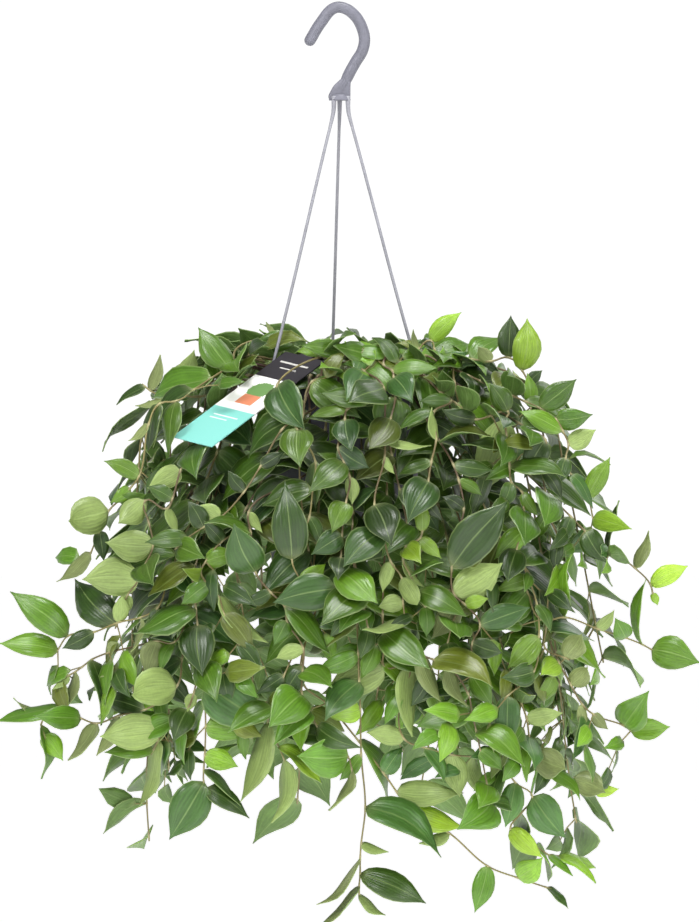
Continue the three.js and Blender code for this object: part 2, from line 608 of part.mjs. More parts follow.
// Rows of [column, row] of a leaf's base on the stem, [column, row] of its tip, its width as seen,
// and its green, from the root outwards.
const FRONT_SHOOTS = {
  far_left: [
    [160, 606, 158, 630, 14, "D"],
    [144, 615, 133, 650, 6, "S"],
    [122, 620, 126, 594, 16, "P"],
    [97, 630, 66, 646, 18, "D"],
    [71, 634, 14, 590, 30, "M"],
    [61, 648, 2, 641, 24, "B"],
  ],
  left_mid: [
    [176, 640, 163, 670, 12, "M"],
    [160, 638, 150, 672, 24, "S"],
    [141, 643, 104, 674, 12, "S"],
    [112, 650, 122, 640, 12, "S"],
    [95, 657, 104, 722, 18, "D"],
    [86, 664, 35, 612, 24, "D"],
    [79, 669, 63, 712, 10, "S"],
    [72, 673, 56, 687, 8, "P"],
  ],
  right_long: [
    [538, 617, 552, 585, 12, "M"],
    [562, 615, 568, 553, 14, "B"],
    [595, 627, 611, 608, 12, "P"],
    [623, 636, 612, 616, 20, "M"],
    [640, 643, 643, 578, 8, "M"],
    [649, 648, 697, 661, 34, "M"],
  ],
  right_upper: [
    [568, 516, 556, 545, 16, "D"],
    [582, 530, 604, 562, 24, "D"],
    [606, 548, 616, 500, 6, "D"],
    [632, 567, 646, 530, 12, "S"],
    [648, 584, 685, 565, 20, "Y"],
    [650, 592, 655, 604, 8, "Y"],
  ],
  right_twig: [
    [556, 660, 537, 672, 22, "Y"],
    [568, 682, 584, 664, 20, "S"],
    [579, 701, 582, 727, 10, "S"],
    [590, 711, 605, 726, 12, "S"],
    [621, 723, 645, 688, 34, "M"],
    [628, 728, 667, 724, 22, "B"],
  ],
  centre_drop: [
    [358, 650, 316, 668, 20, "M"],
    [360, 705, 330, 712, 22, "Y"],
    [361, 750, 340, 775, 14, "M"],
    [365, 802, 440, 851, 32, "G"],
    [361, 838, 388, 846, 9, "P"],
    [360, 852, 317, 898, 6, "S"],
    [360, 868, 425, 897, 28, "D"],
    [359, 880, 318, 922, 6, "S"],
    [359, 888, 385, 909, 9, "P"],
  ],
  lower_diagonal: [
    [304, 680, 282, 664, 16, "D"],
    [327, 699, 352, 716, 20, "Y"],
    [358, 736, 388, 798, 13, "M"],
    [383, 768, 402, 742, 20, "G"],
    [396, 787, 462, 788, 26, "P"],
    [408, 805, 463, 822, 24, "Y"],
    [448, 828, 418, 838, 12, "P"],
    [486, 861, 473, 907, 22, "M"],
    [516, 873, 540, 852, 26, "B"],
    [545, 883, 566, 904, 7, "D"],
  ],
  left_drop: [
    [195, 574, 208, 631, 36, "D"],
    [200, 622, 205, 672, 36, "D"],
    [207, 680, 273, 717, 50, "G"],
    [208, 722, 255, 730, 26, "B"],
    [207, 750, 240, 762, 22, "B"],
    [206, 765, 243, 801, 9, "D"],
    [206, 777, 172, 834, 40, "G"],
    [209, 783, 251, 813, 20, "D"],
  ],
  left_pale: [
    [196, 690, 190, 708, 12, "P"],
    [190, 705, 176, 738, 26, "D"],
    [164, 726, 104, 732, 37, "P"],
    [161, 736, 143, 802, 15, "P"],
    [156, 746, 108, 748, 18, "M"],
  ],
  left_low: [
    [180, 682, 136, 690, 38, "P"],
    [148, 706, 108, 697, 24, "D"],
    [122, 712, 100, 752, 14, "S"],
    [100, 720, 72, 757, 14, "S"],
    [84, 715, 38, 712, 24, "M"],
    [66, 706, 1, 718, 14, "M"],
    [52, 712, 17, 695, 6, "S"],
    [44, 722, 45, 776, 12, "M"],
    [47, 732, 66, 758, 20, "B"],
  ],
  top_right_spray: [
    [490, 362, 477, 347, 14, "S"],
    [508, 358, 510, 316, 24, "D"],
    [521, 371, 526, 319, 29, "Y"],
    [527, 384, 541, 371, 12, "D"],
    [529, 408, 526, 374, 14, "B"],
  ],
  right_shoulder: [
    [538, 409, 574, 380, 25, "M"],
    [554, 420, 590, 415, 22, "M"],
    [560, 431, 516, 412, 19, "B"],
    [566, 445, 593, 430, 20, "P"],
    [563, 458, 556, 484, 18, "D"],
    [568, 474, 590, 508, 14, "G"],
    [585, 497, 607, 457, 20, "B"],
    [590, 518, 627, 528, 21, "Y"],
  ],
  top_right_inner: [
    [418, 350, 413, 330, 6, "S"],
    [430, 341, 461, 313, 19, "Y"],
    [434, 350, 478, 349, 30, "G"],
  ],
  top_centre: [
    [386, 356, 346, 352, 14, "M"],
    [383, 366, 336, 366, 21, "B"],
    [392, 372, 437, 369, 16, "M"],
    [393, 378, 412, 404, 30, "G"],
    [395, 398, 384, 438, 40, "M"],
    [385, 441, 430, 446, 8, "P"],
    [384, 458, 394, 474, 8, "P"],
    [374, 504, 391, 545, 36, "D"],
    [390, 560, 382, 590, 14, "P"],
    [401, 576, 416, 602, 18, "P"],
    [402, 600, 378, 604, 18, "P"],
    [404, 616, 362, 627, 9, "P"],
  ],
  front_glossy: [
    [370, 402, 320, 394, 20, "M"],
    [347, 410, 311, 417, 12, "B"],
    [345, 420, 352, 452, 28, "G"],
    [338, 448, 369, 468, 24, "G"],
    [350, 477, 352, 504, 14, "P"],
    [346, 502, 332, 532, 24, "B"],
    [342, 534, 312, 553, 24, "G"],
    [341, 556, 338, 578, 22, "D"],
    [336, 586, 274, 600, 38, "G"],
    [345, 614, 330, 634, 12, "D"],
  ],
  front_heart: [
    [278, 386, 306, 430, 38, "G"],
    [298, 430, 301, 467, 34, "Y"],
    [316, 462, 316, 508, 17, "M"],
    [310, 516, 322, 545, 14, "M"],
    [293, 558, 286, 481, 36, "D"],
    [302, 580, 326, 562, 18, "B"],
  ],
  under_label: [
    [283, 430, 205, 458, 30, "M"],
    [262, 466, 286, 452, 14, "D"],
    [246, 491, 230, 470, 14, "D"],
    [222, 517, 196, 506, 18, "P"],
    [206, 526, 190, 500, 20, "D"],
    [190, 537, 148, 541, 18, "M"],
    [181, 545, 208, 557, 26, "B"],
  ],
  bright_cluster: [
    [224, 540, 206, 520, 16, "D"],
    [208, 560, 241, 552, 20, "B"],
    [203, 570, 186, 566, 14, "Y"],
    [210, 582, 184, 602, 20, "M"],
    [221, 594, 270, 640, 16, "P"],
    [226, 611, 255, 650, 24, "O"],
    [240, 640, 262, 668, 18, "D"],
  ],
  glossy_left: [
    [250, 512, 264, 532, 10, "P"],
    [257, 570, 236, 522, 38, "G"],
    [272, 590, 246, 600, 14, "D"],
    [286, 604, 330, 650, 22, "M"],
    [288, 618, 275, 642, 18, "M"],
    [304, 645, 277, 655, 16, "P"],
    [303, 690, 270, 722, 40, "M"],
    [318, 722, 362, 742, 22, "D"],
    [348, 751, 298, 750, 40, "M"],
    [352, 765, 329, 804, 9, "S"],
  ],
  hanging_pale: [
    [285, 672, 258, 690, 16, "D"],
    [269, 718, 242, 796, 22, "P"],
    [280, 742, 322, 779, 16, "Y"],
    [285, 754, 273, 817, 18, "P"],
  ],
  left_shoulder: [
    [178, 402, 171, 455, 18, "M"],
    [162, 404, 150, 452, 16, "D"],
    [151, 425, 131, 441, 8, "S"],
    [142, 476, 107, 461, 17, "B"],
    [133, 488, 113, 502, 14, "B"],
    [122, 500, 150, 494, 14, "M"],
    [112, 510, 73, 520, 38, "P"],
    [103, 530, 107, 560, 16, "D"],
    [94, 552, 60, 580, 14, "S"],
  ],
  left_upper: [
    [183, 470, 150, 488, 22, "P"],
    [175, 498, 150, 486, 16, "M"],
    [170, 508, 180, 534, 10, "P"],
    [148, 500, 122, 522, 26, "P"],
    [156, 545, 109, 541, 32, "P"],
    [142, 578, 86, 578, 39, "P"],
    [131, 593, 126, 616, 16, "P"],
    [120, 622, 78, 578, 36, "D"],
  ],
  label_side: [
    [264, 362, 230, 390, 14, "S"],
    [250, 357, 227, 367, 14, "Y"],
    [222, 378, 211, 347, 24, "M"],
    [205, 396, 228, 388, 14, "D"],
    [180, 396, 195, 350, 24, "P"],
    [166, 397, 136, 406, 7, "S"],
    [151, 391, 161, 355, 12, "S"],
    [146, 387, 117, 405, 9, "D"],
  ],
  above_label: [
    [296, 340, 247, 352, 22, "M"],
    [282, 344, 243, 370, 16, "P"],
    [276, 335, 266, 322, 5, "S"],
  ],
  right_front: [
    [474, 420, 440, 410, 18, "D"],
    [506, 412, 488, 384, 22, "M"],
    [503, 421, 481, 493, 41, "P"],
    [509, 482, 497, 508, 16, "M"],
    [520, 492, 535, 515, 13, "B"],
    [522, 528, 492, 558, 22, "B"],
    [514, 548, 505, 580, 28, "D"],
    [526, 577, 492, 590, 16, "B"],
    [534, 602, 548, 630, 12, "M"],
    [536, 634, 505, 665, 26, "B"],
    [531, 668, 498, 674, 24, "D"],
    [505, 692, 505, 745, 26, "G"],
  ],
  right_inner: [
    [543, 440, 522, 478, 26, "D"],
    [540, 470, 560, 500, 14, "D"],
    [545, 512, 530, 540, 16, "M"],
    [556, 540, 552, 570, 14, "D"],
    [546, 590, 570, 610, 16, "D"],
    [542, 645, 570, 665, 22, "D"],
    [562, 655, 578, 631, 24, "S"],
  ],
  right_low: [
    [524, 715, 560, 709, 18, "P"],
    [529, 750, 563, 764, 30, "S"],
    [546, 766, 577, 796, 14, "M"],
    [570, 774, 602, 788, 26, "S"],
    [592, 788, 616, 785, 12, "Y"],
  ],
  right_low_inner: [
    [498, 730, 488, 776, 18, "P"],
    [502, 760, 494, 818, 20, "D"],
    [513, 778, 503, 822, 24, "G"],
    [530, 792, 563, 833, 34, "G"],
    [508, 824, 540, 852, 20, "Y"],
    [546, 850, 570, 871, 8, "M"],
  ],
  big_dark: [
    [452, 465, 492, 470, 17, "M"],
    [457, 480, 480, 495, 12, "B"],
    [462, 508, 440, 496, 14, "D"],
    [450, 566, 505, 500, 42, "D"],
    [452, 592, 500, 561, 34, "P"],
    [463, 602, 486, 596, 14, "Y"],
    [478, 622, 527, 605, 26, "G"],
    [470, 640, 500, 650, 20, "D"],
    [470, 672, 490, 702, 20, "M"],
    [462, 702, 495, 745, 26, "M"],
    [447, 722, 468, 740, 9, "M"],
  ],
  lime_pair: [
    [450, 402, 418, 402, 14, "M"],
    [433, 412, 398, 430, 12, "M"],
    [435, 440, 431, 408, 9, "P"],
    [430, 462, 398, 474, 12, "M"],
    [424, 500, 442, 520, 12, "D"],
    [421, 530, 418, 499, 15, "Y"],
    [419, 537, 440, 557, 14, "Y"],
    [405, 545, 420, 562, 22, "Y"],
    [402, 558, 424, 586, 8, "P"],
    [424, 604, 425, 634, 16, "M"],
    [455, 602, 430, 636, 24, "S"],
    [446, 640, 452, 668, 22, "D"],
  ],
  hanging_pair: [
    [382, 612, 388, 664, 24, "D"],
    [384, 664, 322, 690, 36, "P"],
    [408, 662, 412, 732, 22, "P"],
    [400, 690, 384, 720, 14, "M"],
    [403, 734, 366, 728, 20, "P"],
    [424, 743, 442, 779, 14, "G"],
    [450, 750, 458, 792, 26, "P"],
    [470, 752, 486, 796, 16, "P"],
  ],
  grey_pair: [
    [418, 650, 440, 698, 18, "S"],
    [446, 662, 465, 702, 15, "S"],
    [466, 690, 444, 700, 10, "M"],
    [478, 745, 500, 765, 18, "M"],
    [488, 796, 455, 822, 40, "M"],
  ],
  bright_front: [
    [352, 552, 362, 616, 34, "B"],
    [368, 626, 360, 655, 18, "D"],
  ],
};

// Shoots that lie behind the outermost leaves, and by how much.
const SET_BACK = { above_label: 70, label_side: 60, top_right_inner: 30, top_right_spray: 30 };

// Shoots that hang open, away from the thick front or under the label.
const OPEN_SHOOTS = [
  "far_left", "left_mid", "right_long", "right_upper", "right_twig", "centre_drop",
  "lower_diagonal", "left_low", "left_shoulder", "label_side", "above_label", "under_label",
  "front_heart", "top_centre",
];

function onGrid(column, row) {
  return [GRID * (column - GRID_COLUMN), -GRID * (row - GRID_ROW)];
}

function frontShoot(place, index, rows) {
  const back = SET_BACK[place] ?? 0;
  const open = OPEN_SHOOTS.includes(place);
  const [spacing, size] = open ? [FILL_SPACING, 1] : [DENSE_SPACING, DENSE_SIZE];
  const nodeAt = (i, lift) => {
    const [x, z] = onGrid(rows[i][0], rows[i][1]);
    return new THREE.Vector3(x, back - depthAt(x, z) - lift, z);
  };
  const leafAt = (base, i, lean) => {
    const [, , column, row, seen, green] = rows[i];
    const [x, z] = onGrid(column, row);
    const width = seen * GRID;
    const shown = Math.hypot(x - base.x, z - base.z);
    const length = Math.max(shown, width / 0.66);
    const towards = Math.sqrt(length ** 2 - shown ** 2);
    const tip = new THREE.Vector3(x, base.y - towards + lean, z);
    const full = Math.max(width, 0.44 * length);
    const roll = Math.acos(width / full);
    const forward = tip.clone().sub(base).normalize();
    const front = new THREE.Vector3(0, -1, 0);
    const level = front.clone().cross(forward).normalize();
    const facing = forward.clone().cross(level);
    const rising = level.z > 0 ? 1 : -1;
    const face = facing.multiplyScalar(Math.cos(roll)).addScaledVector(level, rising * Math.sin(roll));
    if (green === "P" || green === "S") face.negate();
    return { base, tip, width: full, face, green };
  };
  return { name: "shoot_" + place, index, count: rows.length, nodeAt, leafAt, spacing, size };
}

// Spread evenly over 0 to 1 by the numbers of a shoot and of something on it.
function vary(i, j) {
  return ((i * 37 + j * 61 + i * j * 17) % 101) / 101;
}

// Degrees round the pot of the long shoots behind it, then of the short ones close in front.
const TRAILING_AZIMUTHS = [
  0, 13, 26, 39, 52, 64, 77, 90, 103, 116, 129, 141, 154, 167, 180,
  195, 208, 262, 289, 316, 342,
];

// A leaf that hangs out and down from a stem, on its left or right hand.
function looseLeaf(base, index, i, hand, lean, rise = 0, size = 1) {
  const out = new THREE.Vector3(base.x, base.y, 0).normalize();
  const beside = new THREE.Vector3(-out.y, out.x, 0).multiplyScalar(hand);
  const down = new THREE.Vector3(0, 0, -1);
  const forward = beside
    .multiplyScalar(0.75)
    .addScaledVector(down, 0.5 + 0.7 * (vary(index, i + 7) - 0.4) - rise)
    .addScaledVector(out, 0.25 + 0.5 * vary(i, index) + lean / 40)
    .normalize();
  const length = (42 + 20 * vary(index + i, 11)) * (1 - 0.2 * rise) * size;
  const tip = base.clone().addScaledVector(forward, length);
  const face = out.clone().addScaledVector(down, -0.55 - 0.5 * vary(i, index + 2) - rise);
  return { base, tip, width: length * LEAF_SHAPE, face };
}

function trailingShoot(name, index, azimuth, reach, fall) {
  const way = [];
  let radius = FLANGE_RADIUS + 9;
  let z = RIM + 18;
  for (let run = NODE_SPACING; run < reach + fall; run += NODE_SPACING) {
    const bend = Math.min(run / (1.3 * reach), 1);
    const rise = THREE.MathUtils.degToRad(25 - (115 - 14 * vary(index, 3)) * bend);
    radius += NODE_SPACING * Math.cos(rise);
    z += NODE_SPACING * Math.sin(rise);
    way.push({ radius, z, azimuth: azimuth + 5 * Math.sin(run / 60 + 6 * vary(index, 5)) });
  }
  const nodeAt = (i, lift) => polar(way[i].radius + lift, way[i].azimuth, way[i].z);
  const leafAt = (base, i, lean) => looseLeaf(base, index, i, (i + index) % 2 ? 1 : -1, lean);
  return { name, index, count: way.length, nodeAt, leafAt, spacing: FILL_SPACING, size: 1 };
}

const part = new THREE.Group();
part.add(hanger(), pot(), soil(), careLabel());

for (const azimuth of STRAND_AZIMUTHS) claim(along(strandRoute(azimuth)), STEM_ROOM, "hanger");
for (let i = 0; i <= 28; i++) {
  for (let j = -4; j <= 4; j++) {
    const point = LABEL_TOP.clone().addScaledVector(labelAlong, (labelLength * i) / 28);
    claim([point.addScaledVector(labelAcross, (LABEL_WIDTH * j) / 8)], STEM_ROOM, "label");
  }
}
for (const [forward, up] of stickLine()) {
  for (const side of [-6, -2, 2, 6]) {
    const point = LABEL_TOP.clone().addScaledVector(labelAlong, forward);
    point.addScaledVector(labelUp, up).addScaledVector(labelAcross, side);
    claim([point], STEM_ROOM, "label");
  }
}

const shoots = Object.entries(FRONT_SHOOTS).map(([place, rows], i) => frontShoot(place, i, rows));
TRAILING_AZIMUTHS.forEach((azimuth, i) => {
  const back = azimuth < 190;
  const reach = back ? 62 + 62 * vary(i, 1) : 30 + 15 * vary(i, 1);
  const fall = back ? 170 + 190 * vary(i, 2) : 150 + 110 * vary(i, 2);
  shoots.push(trailingShoot("shoot_trailing_" + (i + 1), i, azimuth, reach, fall));
});
shoots.forEach(growStem);
shoots.forEach(growLeaves);
shoots.forEach(fillOut);
part.add(...shoots.map(shootMesh));
export default part;
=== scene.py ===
import math
import random

import bmesh
import bpy
from bmesh.types import BMEdge, BMVert
from mathutils import Matrix, Vector, noise
from mathutils.geometry import interpolate_bezier
from mathutils.kdtree import KDTree


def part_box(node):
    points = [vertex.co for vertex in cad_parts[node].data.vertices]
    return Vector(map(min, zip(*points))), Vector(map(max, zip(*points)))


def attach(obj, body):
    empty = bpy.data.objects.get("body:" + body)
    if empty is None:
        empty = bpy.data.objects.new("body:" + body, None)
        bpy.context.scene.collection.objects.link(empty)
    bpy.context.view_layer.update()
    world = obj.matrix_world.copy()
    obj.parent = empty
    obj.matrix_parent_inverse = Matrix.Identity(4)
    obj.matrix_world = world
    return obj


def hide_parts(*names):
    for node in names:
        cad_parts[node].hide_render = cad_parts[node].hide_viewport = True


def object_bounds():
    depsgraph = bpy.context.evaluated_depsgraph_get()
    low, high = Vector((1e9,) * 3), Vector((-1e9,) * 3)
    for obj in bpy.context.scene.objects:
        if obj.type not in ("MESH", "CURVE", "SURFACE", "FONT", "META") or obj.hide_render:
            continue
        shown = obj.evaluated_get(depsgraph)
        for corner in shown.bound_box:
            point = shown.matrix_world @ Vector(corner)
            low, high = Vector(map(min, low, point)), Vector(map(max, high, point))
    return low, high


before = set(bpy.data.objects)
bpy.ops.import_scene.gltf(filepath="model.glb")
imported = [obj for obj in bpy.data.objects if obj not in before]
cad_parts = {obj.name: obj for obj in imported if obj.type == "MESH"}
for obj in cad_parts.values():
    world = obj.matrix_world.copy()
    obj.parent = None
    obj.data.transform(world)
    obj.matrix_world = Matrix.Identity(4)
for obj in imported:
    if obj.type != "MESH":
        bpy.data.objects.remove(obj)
cad_box = [list(corner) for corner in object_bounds()]

# ---------------------------------------------------------------- hook and neck
# The hanger's top: a round hooked rod that spreads into a flat neck, moulded in one shot from
# grey polypropylene. The skin comes off the mould satin, with a faint flow mottle in its grey.

MM = 0.001
ROD = 9.2 * MM
ROD_LINE = [
    (-24.4, -21.5), (-16.2, -8), (-4.7, 4.5), (3, 4.3), (12.3, -2.6), (18, -13.8),
    (19.2, -22), (17.2, -30.5), (12.2, -38.6), (6, -50), (2.6, -58), (0, -66),
]
# The rod's end is rounded: how far out each ring lies and how wide it is, in radii.
ROD_END = [(0.97, 0.2), (0.78, 0.62), (0.45, 0.9)]
# Below this height the rod thins towards the neck by this share.
ROD_THINS_BELOW = -50 * MM
ROD_THINNING = 0.08
NECK_OUTLINE = [
    (8.4, -52), (8, -58), (8, -69.2), (-9.2, -69.2), (-10, -66), (-5.8, -58), (0.6, -52),
]
NECK_THICK = 7 * MM
NECK_EDGE = 1.6 * MM
HUB_MIDDLE = Vector((-0.6, 0, -67.1)) * MM
HUB_RADIUS = 8.2 * MM
HUB_TOP_RADIUS = 6 * MM
HUB_HEIGHT = 5 * MM
HUB_EDGE = 0.8 * MM


def linear(code):
    """An sRGB hex colour as linear red, green, blue and alpha."""
    shares = [int(code[i : i + 2], 16) / 255 for i in (0, 2, 4)]
    return [s / 12.92 if s <= 0.04045 else ((s + 0.055) / 1.055) ** 2.4 for s in shares] + [1]


def wire(node, inputs):
    """Gives a node's inputs a value, or a link from a socket or from another node's output."""
    for key, value in inputs.items():
        if isinstance(value, bpy.types.Node):
            value = next(output for output in value.outputs if output.enabled)
        if isinstance(value, bpy.types.NodeSocket):
            node.id_data.links.new(value, node.inputs[key])
        else:
            node.inputs[key].default_value = value


def add_node(material, kind, inputs, **settings):
    """Adds a shader node with its settings, and wires its inputs."""
    node = material.node_tree.nodes.new("ShaderNode" + kind)
    for name, value in settings.items():
        setattr(node, name, value)
    wire(node, inputs)
    return node


def new_material(name, constants):
    """A material, its main shader with the inputs that are constant, and Object coordinates."""
    material = bpy.data.materials.new(name)
    material.use_nodes = True
    shader = material.node_tree.nodes["Principled BSDF"]
    wire(shader, constants)
    return material, shader, add_node(material, "TexCoord", {}).outputs["Object"]


def new_mesh(bm, name):
    mesh = bpy.data.meshes.new(name)
    bm.to_mesh(mesh)
    bm.free()
    return mesh


def new_object(name, data):
    thing = bpy.data.objects.new(name, data)
    bpy.context.scene.collection.objects.link(thing)
    return thing


def add_piece(bm, name, material, node):
    """Makes a smooth mesh of bm that rides on the body and stands for the CAD node."""
    mesh = new_mesh(bm, name)
    mesh.shade_smooth()
    mesh.materials.append(material)
    piece = new_object(name, mesh)
    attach(piece, "root")
    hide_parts(node)
    return piece


def face_outwards(bm):
    bmesh.ops.recalc_face_normals(bm, faces=bm.faces[:])


def smooth_route(points, spacing):
    """Points on a smooth curve through all the given ones, spacing or less apart."""
    headings = [(points[1] - points[0]).normalized()]
    for before, here, after in zip(points, points[1:], points[2:]):
        headings.append(((here - before).normalized() + (after - here).normalized()).normalized())
    headings.append((points[-1] - points[-2]).normalized())
    route = []
    for i in range(len(points) - 1):
        start, end = points[i], points[i + 1]
        span = (end - start).length
        leave, arrive = headings[i] * span / 3, headings[i + 1] * span / 3
        steps = max(2, math.ceil(span / spacing))
        route += interpolate_bezier(start, start + leave, end - arrive, end, steps + 1)[:-1]
    return [*route, points[-1].copy()]


def extrude_edges(bm, edges):
    """Extrudes edges where they are, and gives the new vertices and edges."""
    grown = bmesh.ops.extrude_edge_only(bm, edges=edges)["geom"]
    return [g for g in grown if isinstance(g, BMVert)], [g for g in grown if isinstance(g, BMEdge)]


def add_tube(bm, route, radii, sides):
    """A closed tube along a route: a circle that is extruded and turned from point to point."""
    heading = (route[1] - route[0]).normalized()
    turn = heading.to_track_quat("Z", "X").to_matrix().to_4x4()
    at = Matrix.Translation(route[0]) @ turn @ Matrix.Scale(radii[0], 4)
    ring = bmesh.ops.create_circle(bm, segments=sides, radius=1, matrix=at)["verts"]
    rings = [ring]
    edges = list({e for v in ring for e in v.link_edges})
    bmesh.ops.contextual_create(bm, geom=edges)
    for i in range(1, len(route)):
        ahead = (route[min(i + 1, len(route) - 1)] - route[i - 1]).normalized()
        turn = heading.rotation_difference(ahead).to_matrix().to_4x4() @ turn
        heading = ahead
        ring, edges = extrude_edges(bm, edges)
        new = Matrix.Translation(route[i]) @ turn @ Matrix.Scale(radii[i], 4)
        bmesh.ops.transform(bm, matrix=new @ at.inverted(), verts=ring)
        at = new
        rings.append(ring)
    bmesh.ops.contextual_create(bm, geom=edges)
    return rings


grey_plastic, shader, place = new_material("moulded grey polypropylene", {})
# The flow mottle is about 6 mm across, and the mould's fine spark texture about 0.7 mm.
flow = add_node(grey_plastic, "TexNoise", {"Vector": place, "Scale": 160, "Detail": 3})
spark = add_node(grey_plastic, "TexNoise", {"Vector": place, "Scale": 1400, "Detail": 2})
mottle = add_node(
    grey_plastic, "Mix", {0: flow, 6: linear("60606a"), 7: linear("80808c")}, data_type="RGBA"
)
satin = add_node(grey_plastic, "MapRange", {"Value": flow, "To Min": 0.42, "To Max": 0.6})
grain = add_node(grey_plastic, "Bump", {"Height": spark, "Strength": 0.04, "Distance": 0.0002})
wire(shader, {"Base Color": mottle, "Roughness": satin, "Normal": grain})

bm = bmesh.new()
line = smooth_route([Vector((x, 0, z)) * MM for x, z in ROD_LINE], 2 * MM)
start = (line[0] - line[1]).normalized()
radii = [ROD / 2 * wide for _, wide in ROD_END]
radii += [ROD / 2 + ROD_THINNING * min(point.z - ROD_THINS_BELOW, 0) for point in line]
line = [line[0] + start * ROD / 2 * out for out, _ in ROD_END] + line
add_tube(bm, line, radii, 24)
face_outwards(bm)
add_piece(bm, "hook", grey_plastic, "hanger")

bm = bmesh.new()
corners = [bm.verts.new((x * MM, -NECK_THICK / 2, z * MM)) for x, z in NECK_OUTLINE]
grown = bmesh.ops.extrude_face_region(bm, geom=[bm.faces.new(corners)])["geom"]
bmesh.ops.translate(
    bm, vec=(0, NECK_THICK, 0), verts=[g for g in grown if isinstance(g, BMVert)]
)
bmesh.ops.bevel(
    bm, geom=bm.edges[:], offset=NECK_EDGE, segments=4, profile=0.5, affect="EDGES", material=-1
)
hub = bmesh.ops.create_cone(
    bm, cap_ends=True, segments=32, radius1=HUB_RADIUS, radius2=HUB_TOP_RADIUS, depth=HUB_HEIGHT,
    matrix=Matrix.Translation(HUB_MIDDLE) @ Matrix.Diagonal((1.12, 0.9, 1, 1)),
)["verts"]
rims = {e for v in hub for e in v.link_edges if abs(e.verts[0].co.z - e.verts[1].co.z) < 1e-6}
bmesh.ops.bevel(
    bm, geom=list(rims), offset=HUB_EDGE, segments=3, profile=0.5, affect="EDGES", material=-1
)
face_outwards(bm)
add_piece(bm, "hanger_neck", grey_plastic, "hanger")

# ---------------------------------------------------------------- strands
# Three thin strands run from the neck to the pot's flange, moulded with the hook and stretched
# a little at the neck. Each ends in a barb that is pushed through a hole and holds underneath.

STRAND = 2.5 * MM
STRAND_ROOT = 4.2 * MM
STRAND_TAPER = 26 * MM
BARB = 6.2 * MM
# The barb's rings: how far below the strand's end, in mm, and how wide, in barb widths.
BARB_RINGS = [(-0.6, 0.25), (-0.2, 0.48), (1.2, 0.42), (3, 0.24), (4.2, 0.1)]
STRAND_AZIMUTHS = {"back": 95.9, "right": -24.1, "left": 215.9}
STRAND_POINTS = [
    (6.4, -66), (7, -79), (9.4, -88), (13, -100), (69.9, -291), (72.5, -298), (72.5, -305),
]


def polar(radius, azimuth, z):
    """A point at a distance from the pot's axis, at degrees from +X towards +Y."""
    turn = math.radians(azimuth)
    return Vector((radius * math.cos(turn), radius * math.sin(turn), z))


strand_plastic, shader, place = new_material("drawn grey polypropylene", {"Roughness": 0.45})
# Stretching leaves the grey paler in streaks about 12 mm long.
streak = add_node(strand_plastic, "TexNoise", {"Vector": place, "Scale": 80, "Detail": 4})
pale = add_node(
    strand_plastic, "Mix", {0: streak, 6: linear("7c7c84"), 7: linear("a4a4ac")}, data_type="RGBA"
)
draw = add_node(strand_plastic, "Bump", {"Height": streak, "Strength": 0.2, "Distance": 0.0003})
wire(shader, {"Base Color": pale, "Normal": draw})

for side, azimuth in STRAND_AZIMUTHS.items():
    bm = bmesh.new()
    line = smooth_route([polar(r * MM, azimuth, z * MM) for r, z in STRAND_POINTS], 6 * MM)
    radii = []
    for point in line:
        share = min((line[0] - point).length / STRAND_TAPER, 1)
        radii.append((STRAND_ROOT + (STRAND - STRAND_ROOT) * share) / 2)
    add_tube(bm, line, radii, 12)
    barb = [line[-1] - Vector((0, 0, down * MM)) for down, _ in BARB_RINGS]
    add_tube(bm, barb, [BARB * wide for _, wide in BARB_RINGS], 16)
    face_outwards(bm)
    add_piece(bm, "strand_" + side, strand_plastic, "hanger")

# ---------------------------------------------------------------- pot
# A thin-walled hanging pot of anthracite polypropylene, moulded with a flat flange that the
# strands clip into, a rolled skirt and four drain holes. The mould leaves it satin.

# Radius and height, from the middle of the foot up the outside and down the inside.
POT_PROFILE = [
    (0, -435), (47, -435), (49, -437), (54, -437), (55, -436), (67.2, -316), (68, -315),
    (68, -303), (69, -302), (75.9, -302), (75.9, -305), (77.5, -305), (77.5, -301), (76.5, -300),
    (67.4, -300), (66.4, -301), (53.4, -432.5), (52.4, -433), (0, -433),
]
BARB_HOLE = 3.6 * MM
BARB_HOLE_AT = 72.5 * MM, -300 * MM
DRAIN_HOLE = 9 * MM
DRAIN_HOLE_AT = 32 * MM, -434 * MM
CREASE = math.radians(40)

anthracite, shader, place = new_material("moulded anthracite polypropylene", {})
# Handling marks are about 15 mm across, peat dust about 2 mm, spark texture about 0.8 mm.
marks = add_node(anthracite, "TexNoise", {"Vector": place, "Scale": 65, "Detail": 5})
dust = add_node(anthracite, "TexNoise", {"Vector": place, "Scale": 500, "Detail": 3})
spark = add_node(anthracite, "TexNoise", {"Vector": place, "Scale": 1250, "Detail": 2})
shell = add_node(
    anthracite, "Mix", {0: marks, 6: linear("2f2f38"), 7: linear("45454f")}, data_type="RGBA"
)
dusty = add_node(
    anthracite, "MapRange", {"Value": dust, "From Min": 0.6, "From Max": 0.75, "To Max": 0.35}
)
dusted = add_node(anthracite, "Mix", {0: dusty, 6: shell, 7: linear("5d5348")}, data_type="RGBA")
satin = add_node(anthracite, "MapRange", {"Value": marks, "To Min": 0.34, "To Max": 0.6})
grain = add_node(anthracite, "Bump", {"Height": spark, "Strength": 0.15, "Distance": 0.0002})
wire(shader, {"Base Color": dusted, "Roughness": satin, "Normal": grain})

